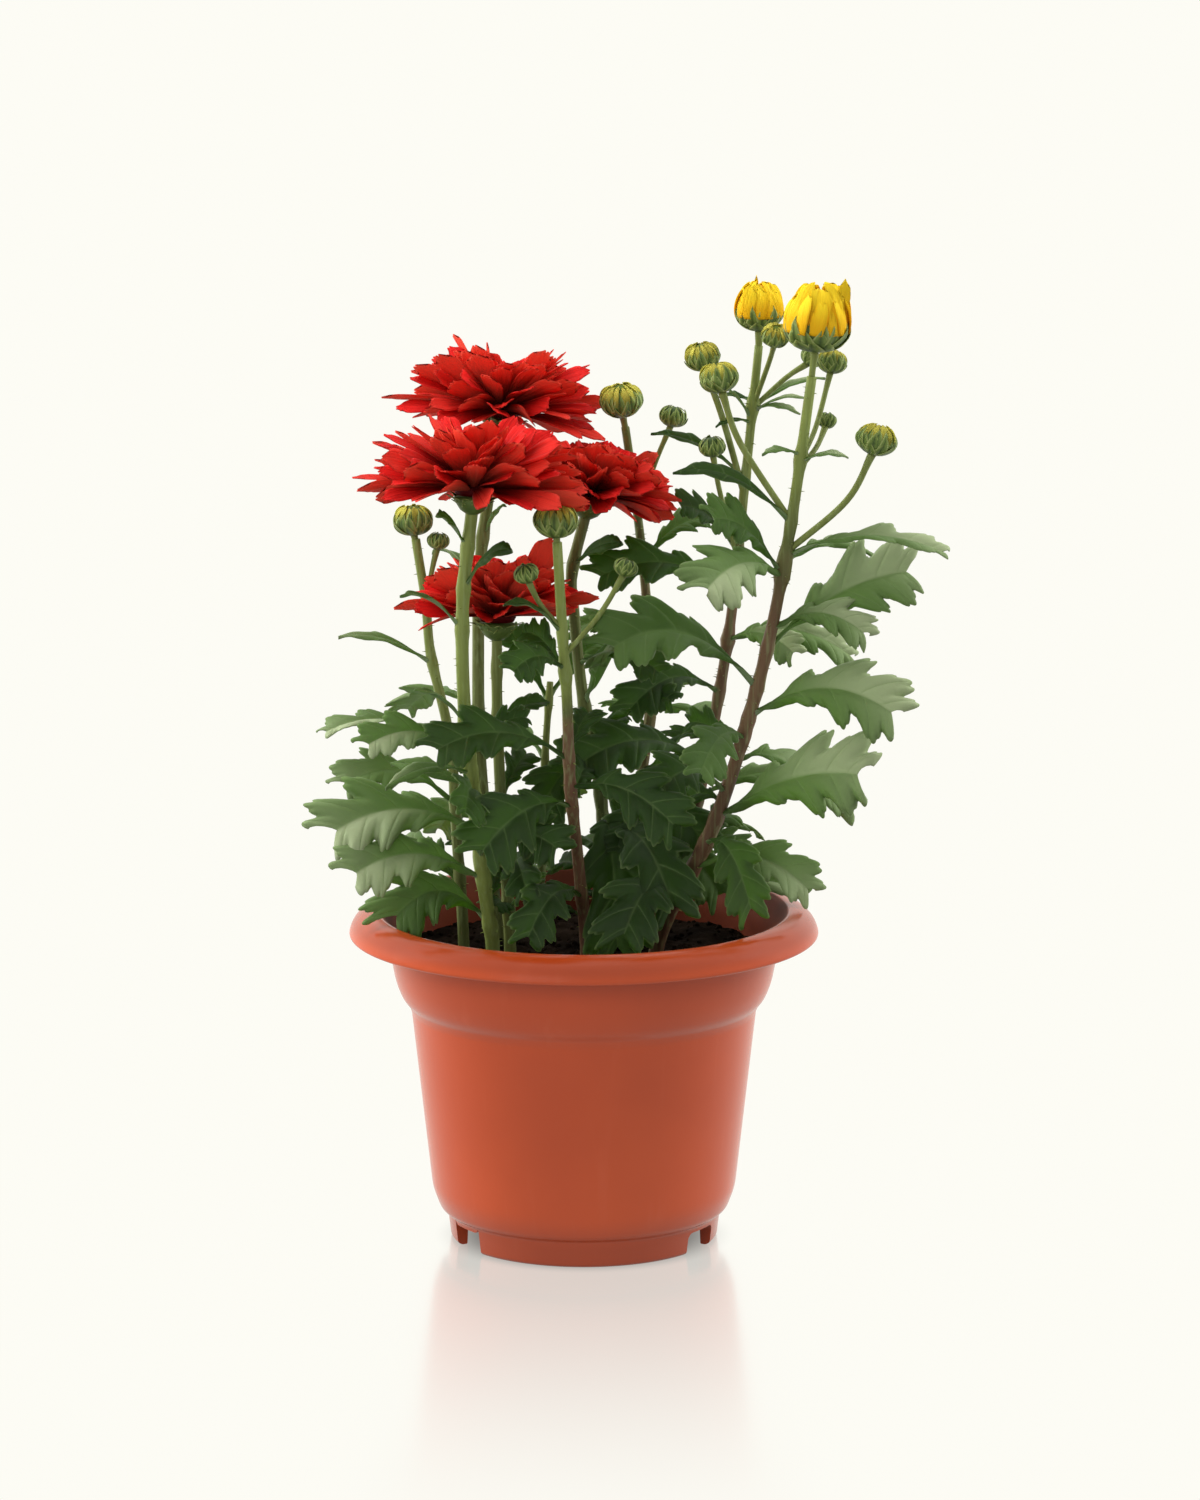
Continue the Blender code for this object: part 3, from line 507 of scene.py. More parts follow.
class Value:
    """An output of a node. The operators on it add Math nodes to its tree."""

    __add__ = operation("ADD")
    __radd__ = operation("ADD", swapped=True)
    __sub__ = operation("SUBTRACT")
    __rsub__ = operation("SUBTRACT", swapped=True)
    __mul__ = operation("MULTIPLY")
    __rmul__ = operation("MULTIPLY", swapped=True)
    __truediv__ = operation("DIVIDE")
    __pow__ = operation("POWER")
    __abs__ = operation("ABSOLUTE")
    larger = operation("MAXIMUM")
    smaller = operation("MINIMUM")
    sin = operation("SINE")
    cos = operation("COSINE")

    def __init__(self, nodes, socket):
        self.nodes = nodes
        self.socket = socket

    def between(self, low, high):
        """0 below low, 1 above high, and smooth in between."""
        settings = {"interpolation_type": "SMOOTHSTEP"}
        inputs = {"Value": self, "From Min": low, "From Max": high}
        return self.nodes.add("ShaderNodeMapRange", settings, inputs)


class Nodes:
    """The nodes of one tree."""

    def __init__(self, tree):
        self.tree = tree

    def add(self, kind, settings=(), inputs=(), output=0):
        """Adds a node and gives its sockets their values or links. Stops are those of a colour ramp."""
        node = self.tree.nodes.new(kind)
        for name, value in dict(settings).items():
            if name == "stops":
                ramp = node.color_ramp
                while len(ramp.elements) < len(value):
                    ramp.elements.new(1.0)
                for element, (place, color) in zip(ramp.elements, value):
                    element.position = place
                    element.color = (*color, 1)
            else:
                setattr(node, name, value)
        for name, value in dict(inputs).items():
            if isinstance(value, Value):
                self.tree.links.new(value.socket, node.inputs[name])
            else:
                node.inputs[name].default_value = value
        return Value(self, node.outputs[output]) if node.outputs else None

    def place(self):
        return self.add("ShaderNodeTexCoord", output="Object")

    def painted(self, name):
        """A value that is stored on the mesh's points."""
        return self.add("ShaderNodeAttribute", {"attribute_name": name}, output="Fac")

    def parts(self, vector):
        """The vector's three numbers."""
        return [self.add("ShaderNodeSeparateXYZ", {}, {0: vector}, output=axis) for axis in range(3)]

    def noise(self, scale, detail, place=None, roughness=0.5):
        place = place or self.place()
        inputs = {"Vector": place, "Scale": scale, "Detail": detail, "Roughness": roughness}
        return self.add("ShaderNodeTexNoise", {}, inputs)

    def stretched(self, scale):
        """The object's place, with each axis stretched by its own number."""
        return self.add("ShaderNodeVectorMath", {"operation": "MULTIPLY"}, {0: self.place(), 1: scale})

    def mix(self, share, first, second):
        """The first colour where the share is 0, and the second where it is 1."""
        colors = {0: share}
        for number, color in ((6, first), (7, second)):
            colors[number] = color if isinstance(color, Value) else (*color, 1)
        return self.add("ShaderNodeMix", {"data_type": "RGBA"}, colors, output=2)

    def bump(self, height, distance):
        return self.add("ShaderNodeBump", {}, {"Height": height, "Distance": distance * MM})

    def surface(self, color, roughness, normal, specular):
        inputs = {"Base Color": color, "Roughness": roughness, "Normal": normal}
        inputs["Specular IOR Level"] = specular
        return self.add("ShaderNodeBsdfPrincipled", {}, inputs)

    def let_through(self, surface, color, share, normal):
        """The surface with a share of the light coming through it in the colour."""
        through = self.add("ShaderNodeBsdfTranslucent", {}, {"Color": color, "Normal": normal})
        return self.add("ShaderNodeMixShader", {}, {0: share, 1: surface, 2: through})


def finish_of(name, paint, *colors):
    material = bpy.data.materials.new(name)
    material.use_nodes = True
    material.node_tree.nodes.clear()
    nodes = Nodes(material.node_tree)
    nodes.add("ShaderNodeOutputMaterial", {}, {"Surface": paint(nodes, *colors)})
    return material


def pot_plastic(nodes):
    """Clouded terracotta plastic with an orange-peel skin, deepened at its foot and rim and dark inside with
    painted shade.
    """
    cloud = nodes.noise(14, 4)
    speck = nodes.noise(260, 2)
    streak = nodes.noise(1, 4, nodes.stretched((160, 160, 12)))
    color = nodes.mix(cloud.between(0.35, 0.7), (0.50, 0.061, 0.009), (0.57, 0.075, 0.013))
    color = nodes.mix(streak.between(0.55, 0.8) * 0.2, color, (0.64, 0.12, 0.045))
    x, y, z = nodes.parts(nodes.place())
    # Painted shade: the foot and the rim are darkened.
    painted_shade_foot_rim = (1 - z.between(*FOOT_SHADE)) + z.between(*RIM_SHADE)
    color = nodes.mix(painted_shade_foot_rim * 0.6, color, (0.25, 0.030, 0.005))
    # Painted shade on the inner wall above the soil, which is also made rougher.
    wall = WALL_RADIUS + WALL_LEAN * (z - WALL_BEND).larger(0)
    outer = ((x * x + y * y) ** 0.5 - wall).between(-WALL_BLUR, WALL_BLUR)
    inside = z.between(*INSIDE_SHADE) * (1 - outer)
    color = nodes.mix(inside * 0.8, color, (0.05, 0.016, 0.009))
    roughness = 0.15 + 0.08 * cloud + 0.05 * speck + 0.5 * inside
    normal = nodes.bump(speck + 0.6 * nodes.noise(900, 1), 0.012)
    return nodes.surface(color, roughness, normal, 0.42)


def soil_crust(nodes):
    grain = nodes.noise(420, 5, roughness=0.7)
    patch = nodes.noise(60, 3)
    color = nodes.mix(patch.between(0.3, 0.7), (0.005, 0.003, 0.002), (0.018, 0.011, 0.007))
    color = nodes.mix(grain.between(0.6, 0.75), color, (0.045, 0.028, 0.018))
    return nodes.surface(color, 1.0, nodes.bump(grain, 0.7), 0.05)


def leaf_veins(nodes):
    """1 on the midrib and the lobes' veins and 0 away from them, and how far from the midrib a place is."""
    across = nodes.painted("across")
    far = abs(across)
    veins = 1 - (far / MIDRIB_WIDTH).smaller(1)
    slid = nodes.painted("along") - across.between(-0.01, 0.01) * VEIN_STAGGER
    width = VEIN_WIDTH - 0.009 * far
    for centre, _, _ in LEAF_LOBES:
        veins = veins.larger(1 - (abs(slid - centre) / width).smaller(1))
    return veins, far


def leaf_top(nodes):
    """Olive green with pale veins. A leaf with a high draw is paler with painted light, most at its tip and
    on one half, and one with a low draw is darker with painted shade.
    """
    veins, across = leaf_veins(nodes)
    mottle = nodes.noise(70, 4)
    fine = nodes.noise(650, 2)
    draw = nodes.painted("draw")
    # Painted light and shade: one half of each leaf, chosen by its draw, is paler as if lit and the other
    # darker, and the tip is paler.
    right = nodes.painted("across").between(-0.06, 0.06)
    turned_up = 0.5 + 0.5 * (draw * 37).sin()
    lit = right * turned_up + (1 - right) * (1 - turned_up)
    pale = draw * (0.35 + 0.65 * nodes.painted("along")) * (0.62 + 0.58 * lit)
    color = nodes.mix(mottle.between(0.3, 0.7), (0.036, 0.066, 0.019), (0.066, 0.112, 0.034))
    # Painted shade: a leaf with a low draw, an inner one, is darkened.
    color = nodes.mix((1 - draw.between(0.0, 0.35)) * 0.80, color, (0.009, 0.019, 0.007))
    # Painted light: a leaf with a high draw, an outer one, is paled, most at its tip and on its lit half.
    color = nodes.mix(pale.between(0.05, 0.45) * 0.9, color, (0.135, 0.218, 0.068))
    color = nodes.mix(pale.between(0.5, 1.0) * 0.85, color, (0.43, 0.50, 0.29))
    color = nodes.mix(veins * 0.26, color, (0.25, 0.35, 0.14))
    color = nodes.mix(across.between(0.9, 1.0) * 0.4, color, (0.24, 0.32, 0.13))
    normal = nodes.bump(fine + 0.4 * mottle - 0.5 * veins, 0.14)
    surface = nodes.surface(color, 0.38 + 0.2 * mottle, normal, 0.3)
    share = 0.36 - 0.16 * pale.between(0.3, 0.8)
    return nodes.let_through(surface, (0.36, 0.62, 0.11, 1), share, normal)


def leaf_underside(nodes):
    veins, across = leaf_veins(nodes)
    mottle = nodes.noise(90, 4)
    fine = nodes.noise(700, 2)
    color = nodes.mix(mottle.between(0.3, 0.7), (0.13, 0.20, 0.09), (0.21, 0.29, 0.15))
    # Painted light: the underside of a leaf with a high draw, an outer one, is paler.
    color = nodes.mix(nodes.painted("draw") * 0.6, color, (0.36, 0.43, 0.29))
    color = nodes.mix(veins * 0.5, color, (0.38, 0.47, 0.28))
    color = nodes.mix(across.between(0.9, 1.0) * 0.4, color, (0.30, 0.37, 0.20))
    normal = nodes.bump(fine + 0.8 * veins, 0.14)
    return nodes.let_through(nodes.surface(color, 0.62, normal, 0.3), (0.44, 0.66, 0.14, 1), 0.34, normal)


def stem_skin(nodes):
    """Brown and woody where the tone is 0, light green where it is 1, with lengthwise streaks."""
    streak = nodes.noise(1, 4, nodes.stretched((900, 900, 60)))
    blotch = nodes.noise(120, 3)
    tone = nodes.painted("draw") + 0.25 * (blotch - 0.5)
    stops = [
        (0.0, (0.125, 0.060, 0.035)),
        (0.25, (0.150, 0.100, 0.046)),
        (0.5, (0.095, 0.110, 0.032)),
        (0.75, (0.150, 0.180, 0.045)),
        (1.0, (0.240, 0.300, 0.075)),
    ]
    color = nodes.add("ShaderNodeValToRGB", {"stops": stops}, {"Fac": tone})
    color = nodes.mix(streak.between(0.45, 0.75) * 0.35, color, (0.30, 0.38, 0.17))
    return nodes.surface(color, 0.5, nodes.bump(streak + 0.4 * blotch, 0.25), 0.3)


def bract_skin(nodes):
    """The scales of a bud or calyx: a dark green middle, fresh green round it, and thin pale edges."""
    along = nodes.painted("along")
    across = abs(nodes.painted("across"))
    fine = nodes.noise(500, 3)
    color = nodes.mix(fine.between(0.3, 0.7), (0.110, 0.170, 0.034), (0.170, 0.240, 0.054))
    color = nodes.mix((1 - across / 0.45).larger(0) * 0.85, color, (0.022, 0.050, 0.010))
    color = nodes.mix(across.between(0.6, 0.95) * 0.65, color, (0.38, 0.44, 0.16))
    color = nodes.mix(along.between(0.7, 1.0) * 0.45, color, (0.34, 0.38, 0.11))
    return nodes.surface(color, 0.5, nodes.bump(fine - across, 0.2), 0.3)


def petal_skin(nodes, deep, bright, back, through, share):
    """A petal with lengthwise streaks: deep at its root, bright towards its tip, and paler behind."""
    along = nodes.painted("along")
    across = nodes.painted("across")
    upper = nodes.painted("upper")
    draw = nodes.painted("draw")
    grid = nodes.add("ShaderNodeCombineXYZ", {}, {"X": across * 5, "Y": along * 1.2, "Z": draw * 40})
    streak = nodes.noise(1.6, 3, grid)
    color = nodes.mix(along.between(0.22, 0.85), deep, bright)
    color = nodes.mix(streak.between(0.45, 0.72) * 0.35, color, deep)
    color = nodes.mix((1 - upper) * (0.3 + 0.6 * along), color, back)
    color = nodes.mix(draw.between(0.4, 1.0) * 0.4 * along, color, back)
    normal = nodes.bump(streak, 0.3)
    surface = nodes.surface(color, 0.55, normal, 0.12)
    return nodes.let_through(surface, (*through, 1), share, normal)


def new_object(name, data):
    """An object that shows this data, in the scene."""
    made = bpy.data.objects.new(name, data)
    bpy.context.scene.collection.objects.link(made)
    return made


def store(mesh, name, numbers):
    """Stores a number for each of the mesh's points, for materials to read."""
    stored = mesh.attributes.new(name, "FLOAT", "POINT")
    stored.data.foreach_set("value", numbers.astype(np.float32))


def moved(points, matrix):
    """The points in millimetres, moved by a matrix that is in metres."""
    turn = np.array(matrix)
    return points @ turn[:3, :3].T + turn[:3, 3] / MM


class Shape:
    """Points, faces, finishes and painted values that become one mesh."""

    VALUES = ("along", "across", "upper", "draw")

    def __init__(self, finishes):
        self.finishes = finishes
        self.points = []
        self.faces = []
        self.slots = []
        self.values = {name: [] for name in self.VALUES}
        self.count = 0

    def add(self, points, faces, finish, **values):
        """Points are rows of three numbers in millimetres, and finish is a material or one for each face."""
        points = np.asarray(points, float).reshape(-1, 3)
        self.points.append(points)
        self.faces += [[corner + self.count for corner in face] for face in faces]
        if isinstance(finish, bpy.types.Material):
            finish = [finish] * len(faces)
        self.slots += [self.finishes.index(one) for one in finish]
        for name in self.VALUES:
            value = np.broadcast_to(np.asarray(values.get(name, 0.0), float), len(points))
            self.values[name].append(value)
        self.count += len(points)

    def add_mesh(self, mesh, finish, matrix, **values):
        """Takes in a mesh that is in metres, with its own painted values in place of the given ones."""
        points = np.empty(len(mesh.vertices) * 3)
        mesh.vertices.foreach_get("co", points)
        points = moved(points.reshape(-1, 3) / MM, matrix)
        for name in self.VALUES:
            stored = mesh.attributes.get(name)
            if stored:
                values[name] = np.empty(len(mesh.vertices))
                stored.data.foreach_get("value", values[name])
        faces = [list(face.vertices) for face in mesh.polygons]
        self.add(points, faces, finish, **values)

    def piece(self, name):
        mesh = bpy.data.meshes.new(name)
        points = np.concatenate(self.points) * MM
        mesh.from_pydata(points.tolist(), [], self.faces)
        for finish in self.finishes:
            mesh.materials.append(finish)
        mesh.polygons.foreach_set("material_index", self.slots)
        for value, chunks in self.values.items():
            store(mesh, value, np.concatenate(chunks))
        mesh.shade_smooth()
        mesh.validate()
        made = new_object(name, mesh)
        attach(made, "root")
        return made


def grid_faces(rows, columns, offset=0, flipped=False, closed=False):
    """The four-sided faces of a grid of points, row by row. A closed grid's last column meets its first."""
    faces = []
    for i in range(rows - 1):
        for j in range(columns if closed else columns - 1):
            after = (j + 1) % columns
            here = i * columns
            face = [here + j, here + after, here + columns + after, here + columns + j]
            if flipped:
                face.reverse()
            faces.append([corner + offset for corner in face])
    return faces


def shell_of(grid, normals, thickness):
    """A closed thin shell round a grid: points, faces, and how many of the faces are on the upper side."""
    rows, columns = grid.shape[:2]
    half = 0.5 * np.broadcast_to(thickness, (rows, columns))[..., None]
    upper = (grid + normals * half).reshape(-1, 3)
    lower = (grid - normals * half).reshape(-1, 3)
    size = rows * columns
    top = grid_faces(rows, columns)
    bottom = grid_faces(rows, columns, size, flipped=True)
    border = list(range(columns))
    border += [i * columns + columns - 1 for i in range(1, rows)]
    border += [(rows - 1) * columns + j for j in range(columns - 2, -1, -1)]
    border += [i * columns for i in range(rows - 2, 0, -1)]
    rim = []
    for near, far in zip(border, border[1:] + border[:1]):
        rim.append([far, near, near + size, far + size])
    return np.concatenate([upper, lower]), top + bottom + rim, len(top)


def lengths(vectors):
    return np.linalg.norm(vectors, axis=-1, keepdims=True)


def reach_of(t, lobes, web, offset):
    """How far a leaf's edge reaches at each part of its length, as a part of half its width."""
    reach = np.interp(t, *zip(*web))
    for centre, span, height in lobes:
        inside = 1 - ((t - centre - offset) / span) ** 2
        reach = np.maximum(reach, height * np.sqrt(np.maximum(inside, 0)))
    return reach


def on_both_sides(values, grid):
    """A value for each of the grid's points, and the same again for the other side of its shell."""
    return np.tile(np.broadcast_to(values, grid.shape[:2]).ravel(), 2)


def leaf(shape, base, tip, width, arch, lean, seed, finishes, pale):
    """A leaf on its stalk, arched from base to tip, with lobes, teeth and sunken veins."""
    draw = random.Random(seed)
    run = np.array(tip, float) - base
    length = np.linalg.norm(run)
    level = np.cross(run, UP)
    level /= np.linalg.norm(level)
    narrow = width <= NARROW_LEAF
    lobes = [] if narrow else LEAF_LOBES
    web = NARROW_WEB if narrow else LEAF_WEB
    teeth = TEETH // 2 if narrow else TEETH
    t = np.arange(BLADE_START, 1.0, 1 / (TEETH_STEPS * teeth))
    t = np.concatenate([PETIOLE_ROWS, t, [1.0]])[:, None]
    u = np.array(LEAF_COLUMNS)[None, :]
    far = np.abs(u)
    left = reach_of(t, lobes, web, draw.uniform(-0.01, 0.01))
    right = reach_of(t, lobes, web, VEIN_STAGGER)
    half = (0.5 if narrow else 0.5 * LEAF_FULLNESS) * width
    side = u * np.maximum(np.where(u < 0, left, right) * half, PETIOLE_HALF_WIDTH * (1 - t))
    notch = TOOTH_DEPTH * (1 - np.abs(np.sin(np.pi * t * teeth)) ** 0.5)
    side = side * (1 - notch * far**5)
    at = t + VEIN_SLANT * np.abs(side) / length
    middle = base + run * at[..., None] + UP * (4 * arch * length * at * (1 - at))[..., None]
    along = run + UP * (4 * arch * length * (1 - 2 * at))[..., None]
    along /= lengths(along)
    turn = math.radians(math.copysign(lean, lean * run[0])) * np.minimum(1, at / LEAN_START)[..., None]
    across = level * np.cos(turn) + np.cross(along, level) * np.sin(turn)
    normal = np.cross(across, along)
    slid = t - VEIN_STAGGER * (u > 0)
    veins = np.zeros(slid.shape)
    for centre, _, _ in lobes:
        veins = np.maximum(veins, np.exp(-(((slid - centre) / VEIN_WIDTH) ** 2)))
    puff = PUFF * width * (1 - veins) * np.sin(np.pi * np.minimum(far * 1.1, 1))
    groove = GROOVE_DEPTH * np.exp(-((side / GROOVE_WIDTH) ** 2))
    waves = draw.uniform(*EDGE_WAVES) * t + draw.random()
    wave = EDGE_WAVE * width * far**2 * np.sin(2 * np.pi * waves)
    droop = draw.uniform(*EDGE_DROOP) * width * far**3 * np.minimum(1, 3 * t)
    lift = np.abs(side) * math.sin(LEAF_FOLD) + puff - groove + wave - droop
    grid = middle + across * (side * math.cos(LEAF_FOLD))[..., None] + normal * lift[..., None]
    normals = np.cross(np.gradient(grid, axis=1), np.gradient(grid, axis=0))
    normals /= np.maximum(lengths(normals), 1e-9)
    blade = LEAF_THICKNESS * (1 - EDGE_THINNING * far)
    petiole = (PETIOLE_THICKNESS - LEAF_THICKNESS) * np.clip(1 - t / PETIOLE_LENGTH, 0, 1) * (1 - 0.5 * far)
    points, faces, top_count = shell_of(grid, normals, blade + petiole)
    top, under = finishes
    slots = [top] * top_count + [under] * (len(faces) - top_count)
    # How pale the leaf is painted: high for painted light, low for painted shade.
    tone = min(1.0, max(0.0, pale + draw.uniform(-PALE_DRAW, PALE_DRAW)))
    shape.add(points, faces, slots, along=on_both_sides(t, grid), across=on_both_sides(u, grid), draw=tone)


def smooth_route(route, step):
    """Points along a smooth curve through the route, about a step apart."""
    points = [np.array(point, float) for point in route]
    points = [2 * points[0] - points[1], *points, 2 * points[-1] - points[-2]]
    smooth = []
    for before, start, end, after in zip(points, points[1:], points[2:], points[3:]):
        count = max(2, round(np.linalg.norm(end - start) / step))
        near = (before, start, end, after)
        for s in np.arange(count) / count:
            shares = (-s + 2 * s**2 - s**3, 2 - 5 * s**2 + 3 * s**3, s + 4 * s**2 - 3 * s**3, s**3 - s**2)
            smooth.append(0.5 * sum(share * point for share, point in zip(shares, near)))
    smooth.append(points[-2])
    return np.array(smooth)


def tube(shape, points, radii, finish, sides, ridges=0, **values):
    """A round bar along the points, closed at both ends, with ridges. Gives its points and faces."""
    along = np.gradient(points, axis=0)
    along /= lengths(along)
    side = np.cross(along[0], (0.3, 1, 0.1))
    rings = []
    angles = 2 * np.pi * np.arange(sides) / sides
    for point, direction, radius in zip(points, along, radii):
        side = side - direction * np.dot(side, direction)
        side /= np.linalg.norm(side)
        other = np.cross(direction, side)
        reach = radius * (1 + (RIDGE_HEIGHT * np.cos(ridges * angles) if ridges else 0))
        ring = point + np.outer(reach * np.cos(angles), side)
        rings.append(ring + np.outer(reach * np.sin(angles), other))
    faces = grid_faces(len(rings), sides, closed=True)
    faces.append(list(range(sides))[::-1])
    faces.append([(len(rings) - 1) * sides + j for j in range(sides)])
    spread = {name: np.repeat(value, sides) for name, value in values.items()}
    points = np.concatenate(rings)
    shape.add(points, faces, finish, **spread)
    return points, faces


def circle(radius, height, steps):
    angles = 2 * np.pi * np.arange(steps) / steps
    return np.stack([radius * np.cos(angles), radius * np.sin(angles), np.full(steps, height)], axis=1)


def turned(shape, profile, steps, finish, matrix, **values):
    """A profile of (radius, height) turned about Z and placed by the matrix. Its ends lie on the axis."""
    rings = [circle(radius, height, steps) for radius, height in profile[1:-1]]
    points = np.concatenate([*rings, [(0, 0, profile[0][1]), (0, 0, profile[-1][1])]])
    faces = grid_faces(len(rings), steps, closed=True)
    first = len(rings) * steps
    last = (len(rings) - 1) * steps
    faces += [[first, (j + 1) % steps, j] for j in range(steps)]
    faces += [[first + 1, last + j, last + (j + 1) % steps] for j in range(steps)]
    shape.add(moved(points, matrix), faces, finish, **values)


def facing(place, direction):
    """The matrix that sets a thing at a place in millimetres and turns its top to a direction."""
    turn = Vector((0, 0, 1)).rotation_difference(Vector(direction)).to_matrix().to_4x4()
    return Matrix.Translation(Vector(place) * MM) @ turn


def blade_mesh(name, rows, columns, outline, ridge, thickness, notch):
    """A flat closed petal, one unit long and up to two wide, that the petal ring bends and scales."""
    v = np.linspace(0, 1, rows)[:, None]
    u = np.linspace(-1, 1, columns)[None, :]
    half = np.interp(v, *zip(*outline))
    length = v * (1 - 0.10 * np.abs(u) ** 2.5 * v**6) - notch * np.exp(-((u / 0.22) ** 2)) * v**10
    relief = ridge * np.cos(3 * np.pi * u) * np.sin(np.pi * v) ** 0.5
    grid = np.stack([half * u, length, np.broadcast_to(relief * MM, half.shape[:1] + u.shape[1:])], axis=-1)
    normals = np.zeros(grid.shape)
    normals[..., 2] = 1
    thin = thickness * MM * (1 - 0.6 * np.abs(u) ** 2) * (1 - 0.4 * v)
    points, faces, _ = shell_of(grid, normals, thin)
    mesh = bpy.data.meshes.new(name)
    mesh.from_pydata(points.tolist(), [], [face[::-1] for face in faces])
    store(mesh, "along", on_both_sides(v, grid))
    store(mesh, "across", on_both_sides(u, grid))
    store(mesh, "upper", np.repeat([1.0, 0.0], rows * columns))
    return mesh


# The kinds of inputs to the Geometry Nodes trees. All the others are numbers with decimals.
INPUT_KINDS = {"Count": "Int", "Seed": "Int", "Finish": "Material"}


def new_tree(name, given, inputs, made):
    """A Geometry Nodes tree that takes a geometry and inputs: the tree, its nodes, and its inputs by name."""
    tree = bpy.data.node_groups.new(name, "GeometryNodeTree")
    tree.interface.new_socket(given, in_out="INPUT", socket_type="NodeSocketGeometry")
    for label in inputs:
        kind = INPUT_KINDS.get(label, "Float")
        tree.interface.new_socket(label, in_out="INPUT", socket_type=f"NodeSocket{kind}")
    tree.interface.new_socket(made, in_out="OUTPUT", socket_type="NodeSocketGeometry")
    nodes = Nodes(tree)
    sockets = tree.nodes.new("NodeGroupInput").outputs
    return tree, nodes, {socket.name: Value(nodes, socket) for socket in sockets}


RING_INPUTS = (
    "Count", "First turn", "Length", "Width", "Root radius", "Root height", "Rise at root", "Rise at tip",
    "Height share", "Cupping", "Disorder", "Front lift", "Side lift", "Roll", "Seed", "Finish",
)
SCATTER_INPUTS = ("Density", "Smallest", "Largest", "Roughness", "Seed", "Finish")


def petal_ring_tree():
    """Geometry Nodes that set a flat petal round an axis, and bend, cup and twist each one its own way."""
    tree, nodes, asked = new_tree("petal ring", "Petal", RING_INPUTS, "Ring")
    index = nodes.add("GeometryNodeInputIndex")

    def stray(name):
        low, high, number = STRAY[name]
        inputs = {2: low, 3: high, "ID": index, "Seed": asked["Seed"] + 7 * number}
        return nodes.add("FunctionNodeRandomValue", {"data_type": "FLOAT"}, inputs, output=1)

    disorder = asked["Disorder"]
    turn = asked["First turn"] + (index + disorder * stray("turn")) * 2 * math.pi / asked["Count"]
    front = asked["Front lift"] * (0 - turn.sin()).larger(0)
    lift = front + asked["Side lift"] * turn.cos() * turn.cos()
    start = asked["Rise at root"] + lift + disorder * stray("start")
    end = asked["Rise at tip"] + lift + disorder * stray("end")
    stored = {
        "turn": turn,
        "start": start,
        "bend": end - start + LEAST_BEND,
        "long": asked["Length"] * (1 - disorder * stray("long")),
        "wide": asked["Width"] * (1 + disorder * stray("wide")),
        "twist": disorder * stray("twist"),
        "draw": stray("draw"),
    }
    points = nodes.add("GeometryNodeMeshLine", {}, {"Count": asked["Count"], "Offset": (0, 0, 0)})
    for name, value in stored.items():
        inputs = {"Geometry": points, "Name": name, "Value": value}
        points = nodes.add("GeometryNodeStoreNamedAttribute", {"data_type": "FLOAT"}, inputs)
    petals = nodes.add("GeometryNodeInstanceOnPoints", {}, {"Points": points, "Instance": asked["Petal"]})
    petals = nodes.add("GeometryNodeRealizeInstances", {}, {"Geometry": petals})

    def read(name):
        return nodes.add("GeometryNodeInputNamedAttribute", {"data_type": "FLOAT"}, {"Name": name})

    flat = nodes.parts(nodes.add("GeometryNodeInputPosition"))
    rise = read("start") + read("bend") * flat[1]
    radius_of_bend = read("long") / read("bend")
    out = asked["Root radius"] + radius_of_bend * (rise.sin() - read("start").sin())
    up = asked["Root height"] + radius_of_bend * (read("start").cos() - rise.cos())
    side = flat[0] * read("wide") / 2
    lift = flat[2] + asked["Cupping"] * side * side
    twist = asked["Roll"] + read("twist") * (0.4 + flat[1])
    turned_side = side * twist.cos() - lift * twist.sin()
    turned_lift = side * twist.sin() + lift * twist.cos()
    out = out - rise.sin() * turned_lift
    up = (up + rise.cos() * turned_lift) * asked["Height share"]
    turn = read("turn")
    x = out * turn.cos() + turned_side * turn.sin()
    y = out * turn.sin() - turned_side * turn.cos()
    bent = nodes.add("ShaderNodeCombineXYZ", {}, {"X": x, "Y": y, "Z": up})
    petals = nodes.add("GeometryNodeSetPosition", {}, {"Geometry": petals, "Position": bent})
    petals = nodes.add("GeometryNodeSetMaterial", {}, {"Geometry": petals, "Material": asked["Finish"]})
    nodes.add("NodeGroupOutput", {}, {"Ring": petals})
    return tree


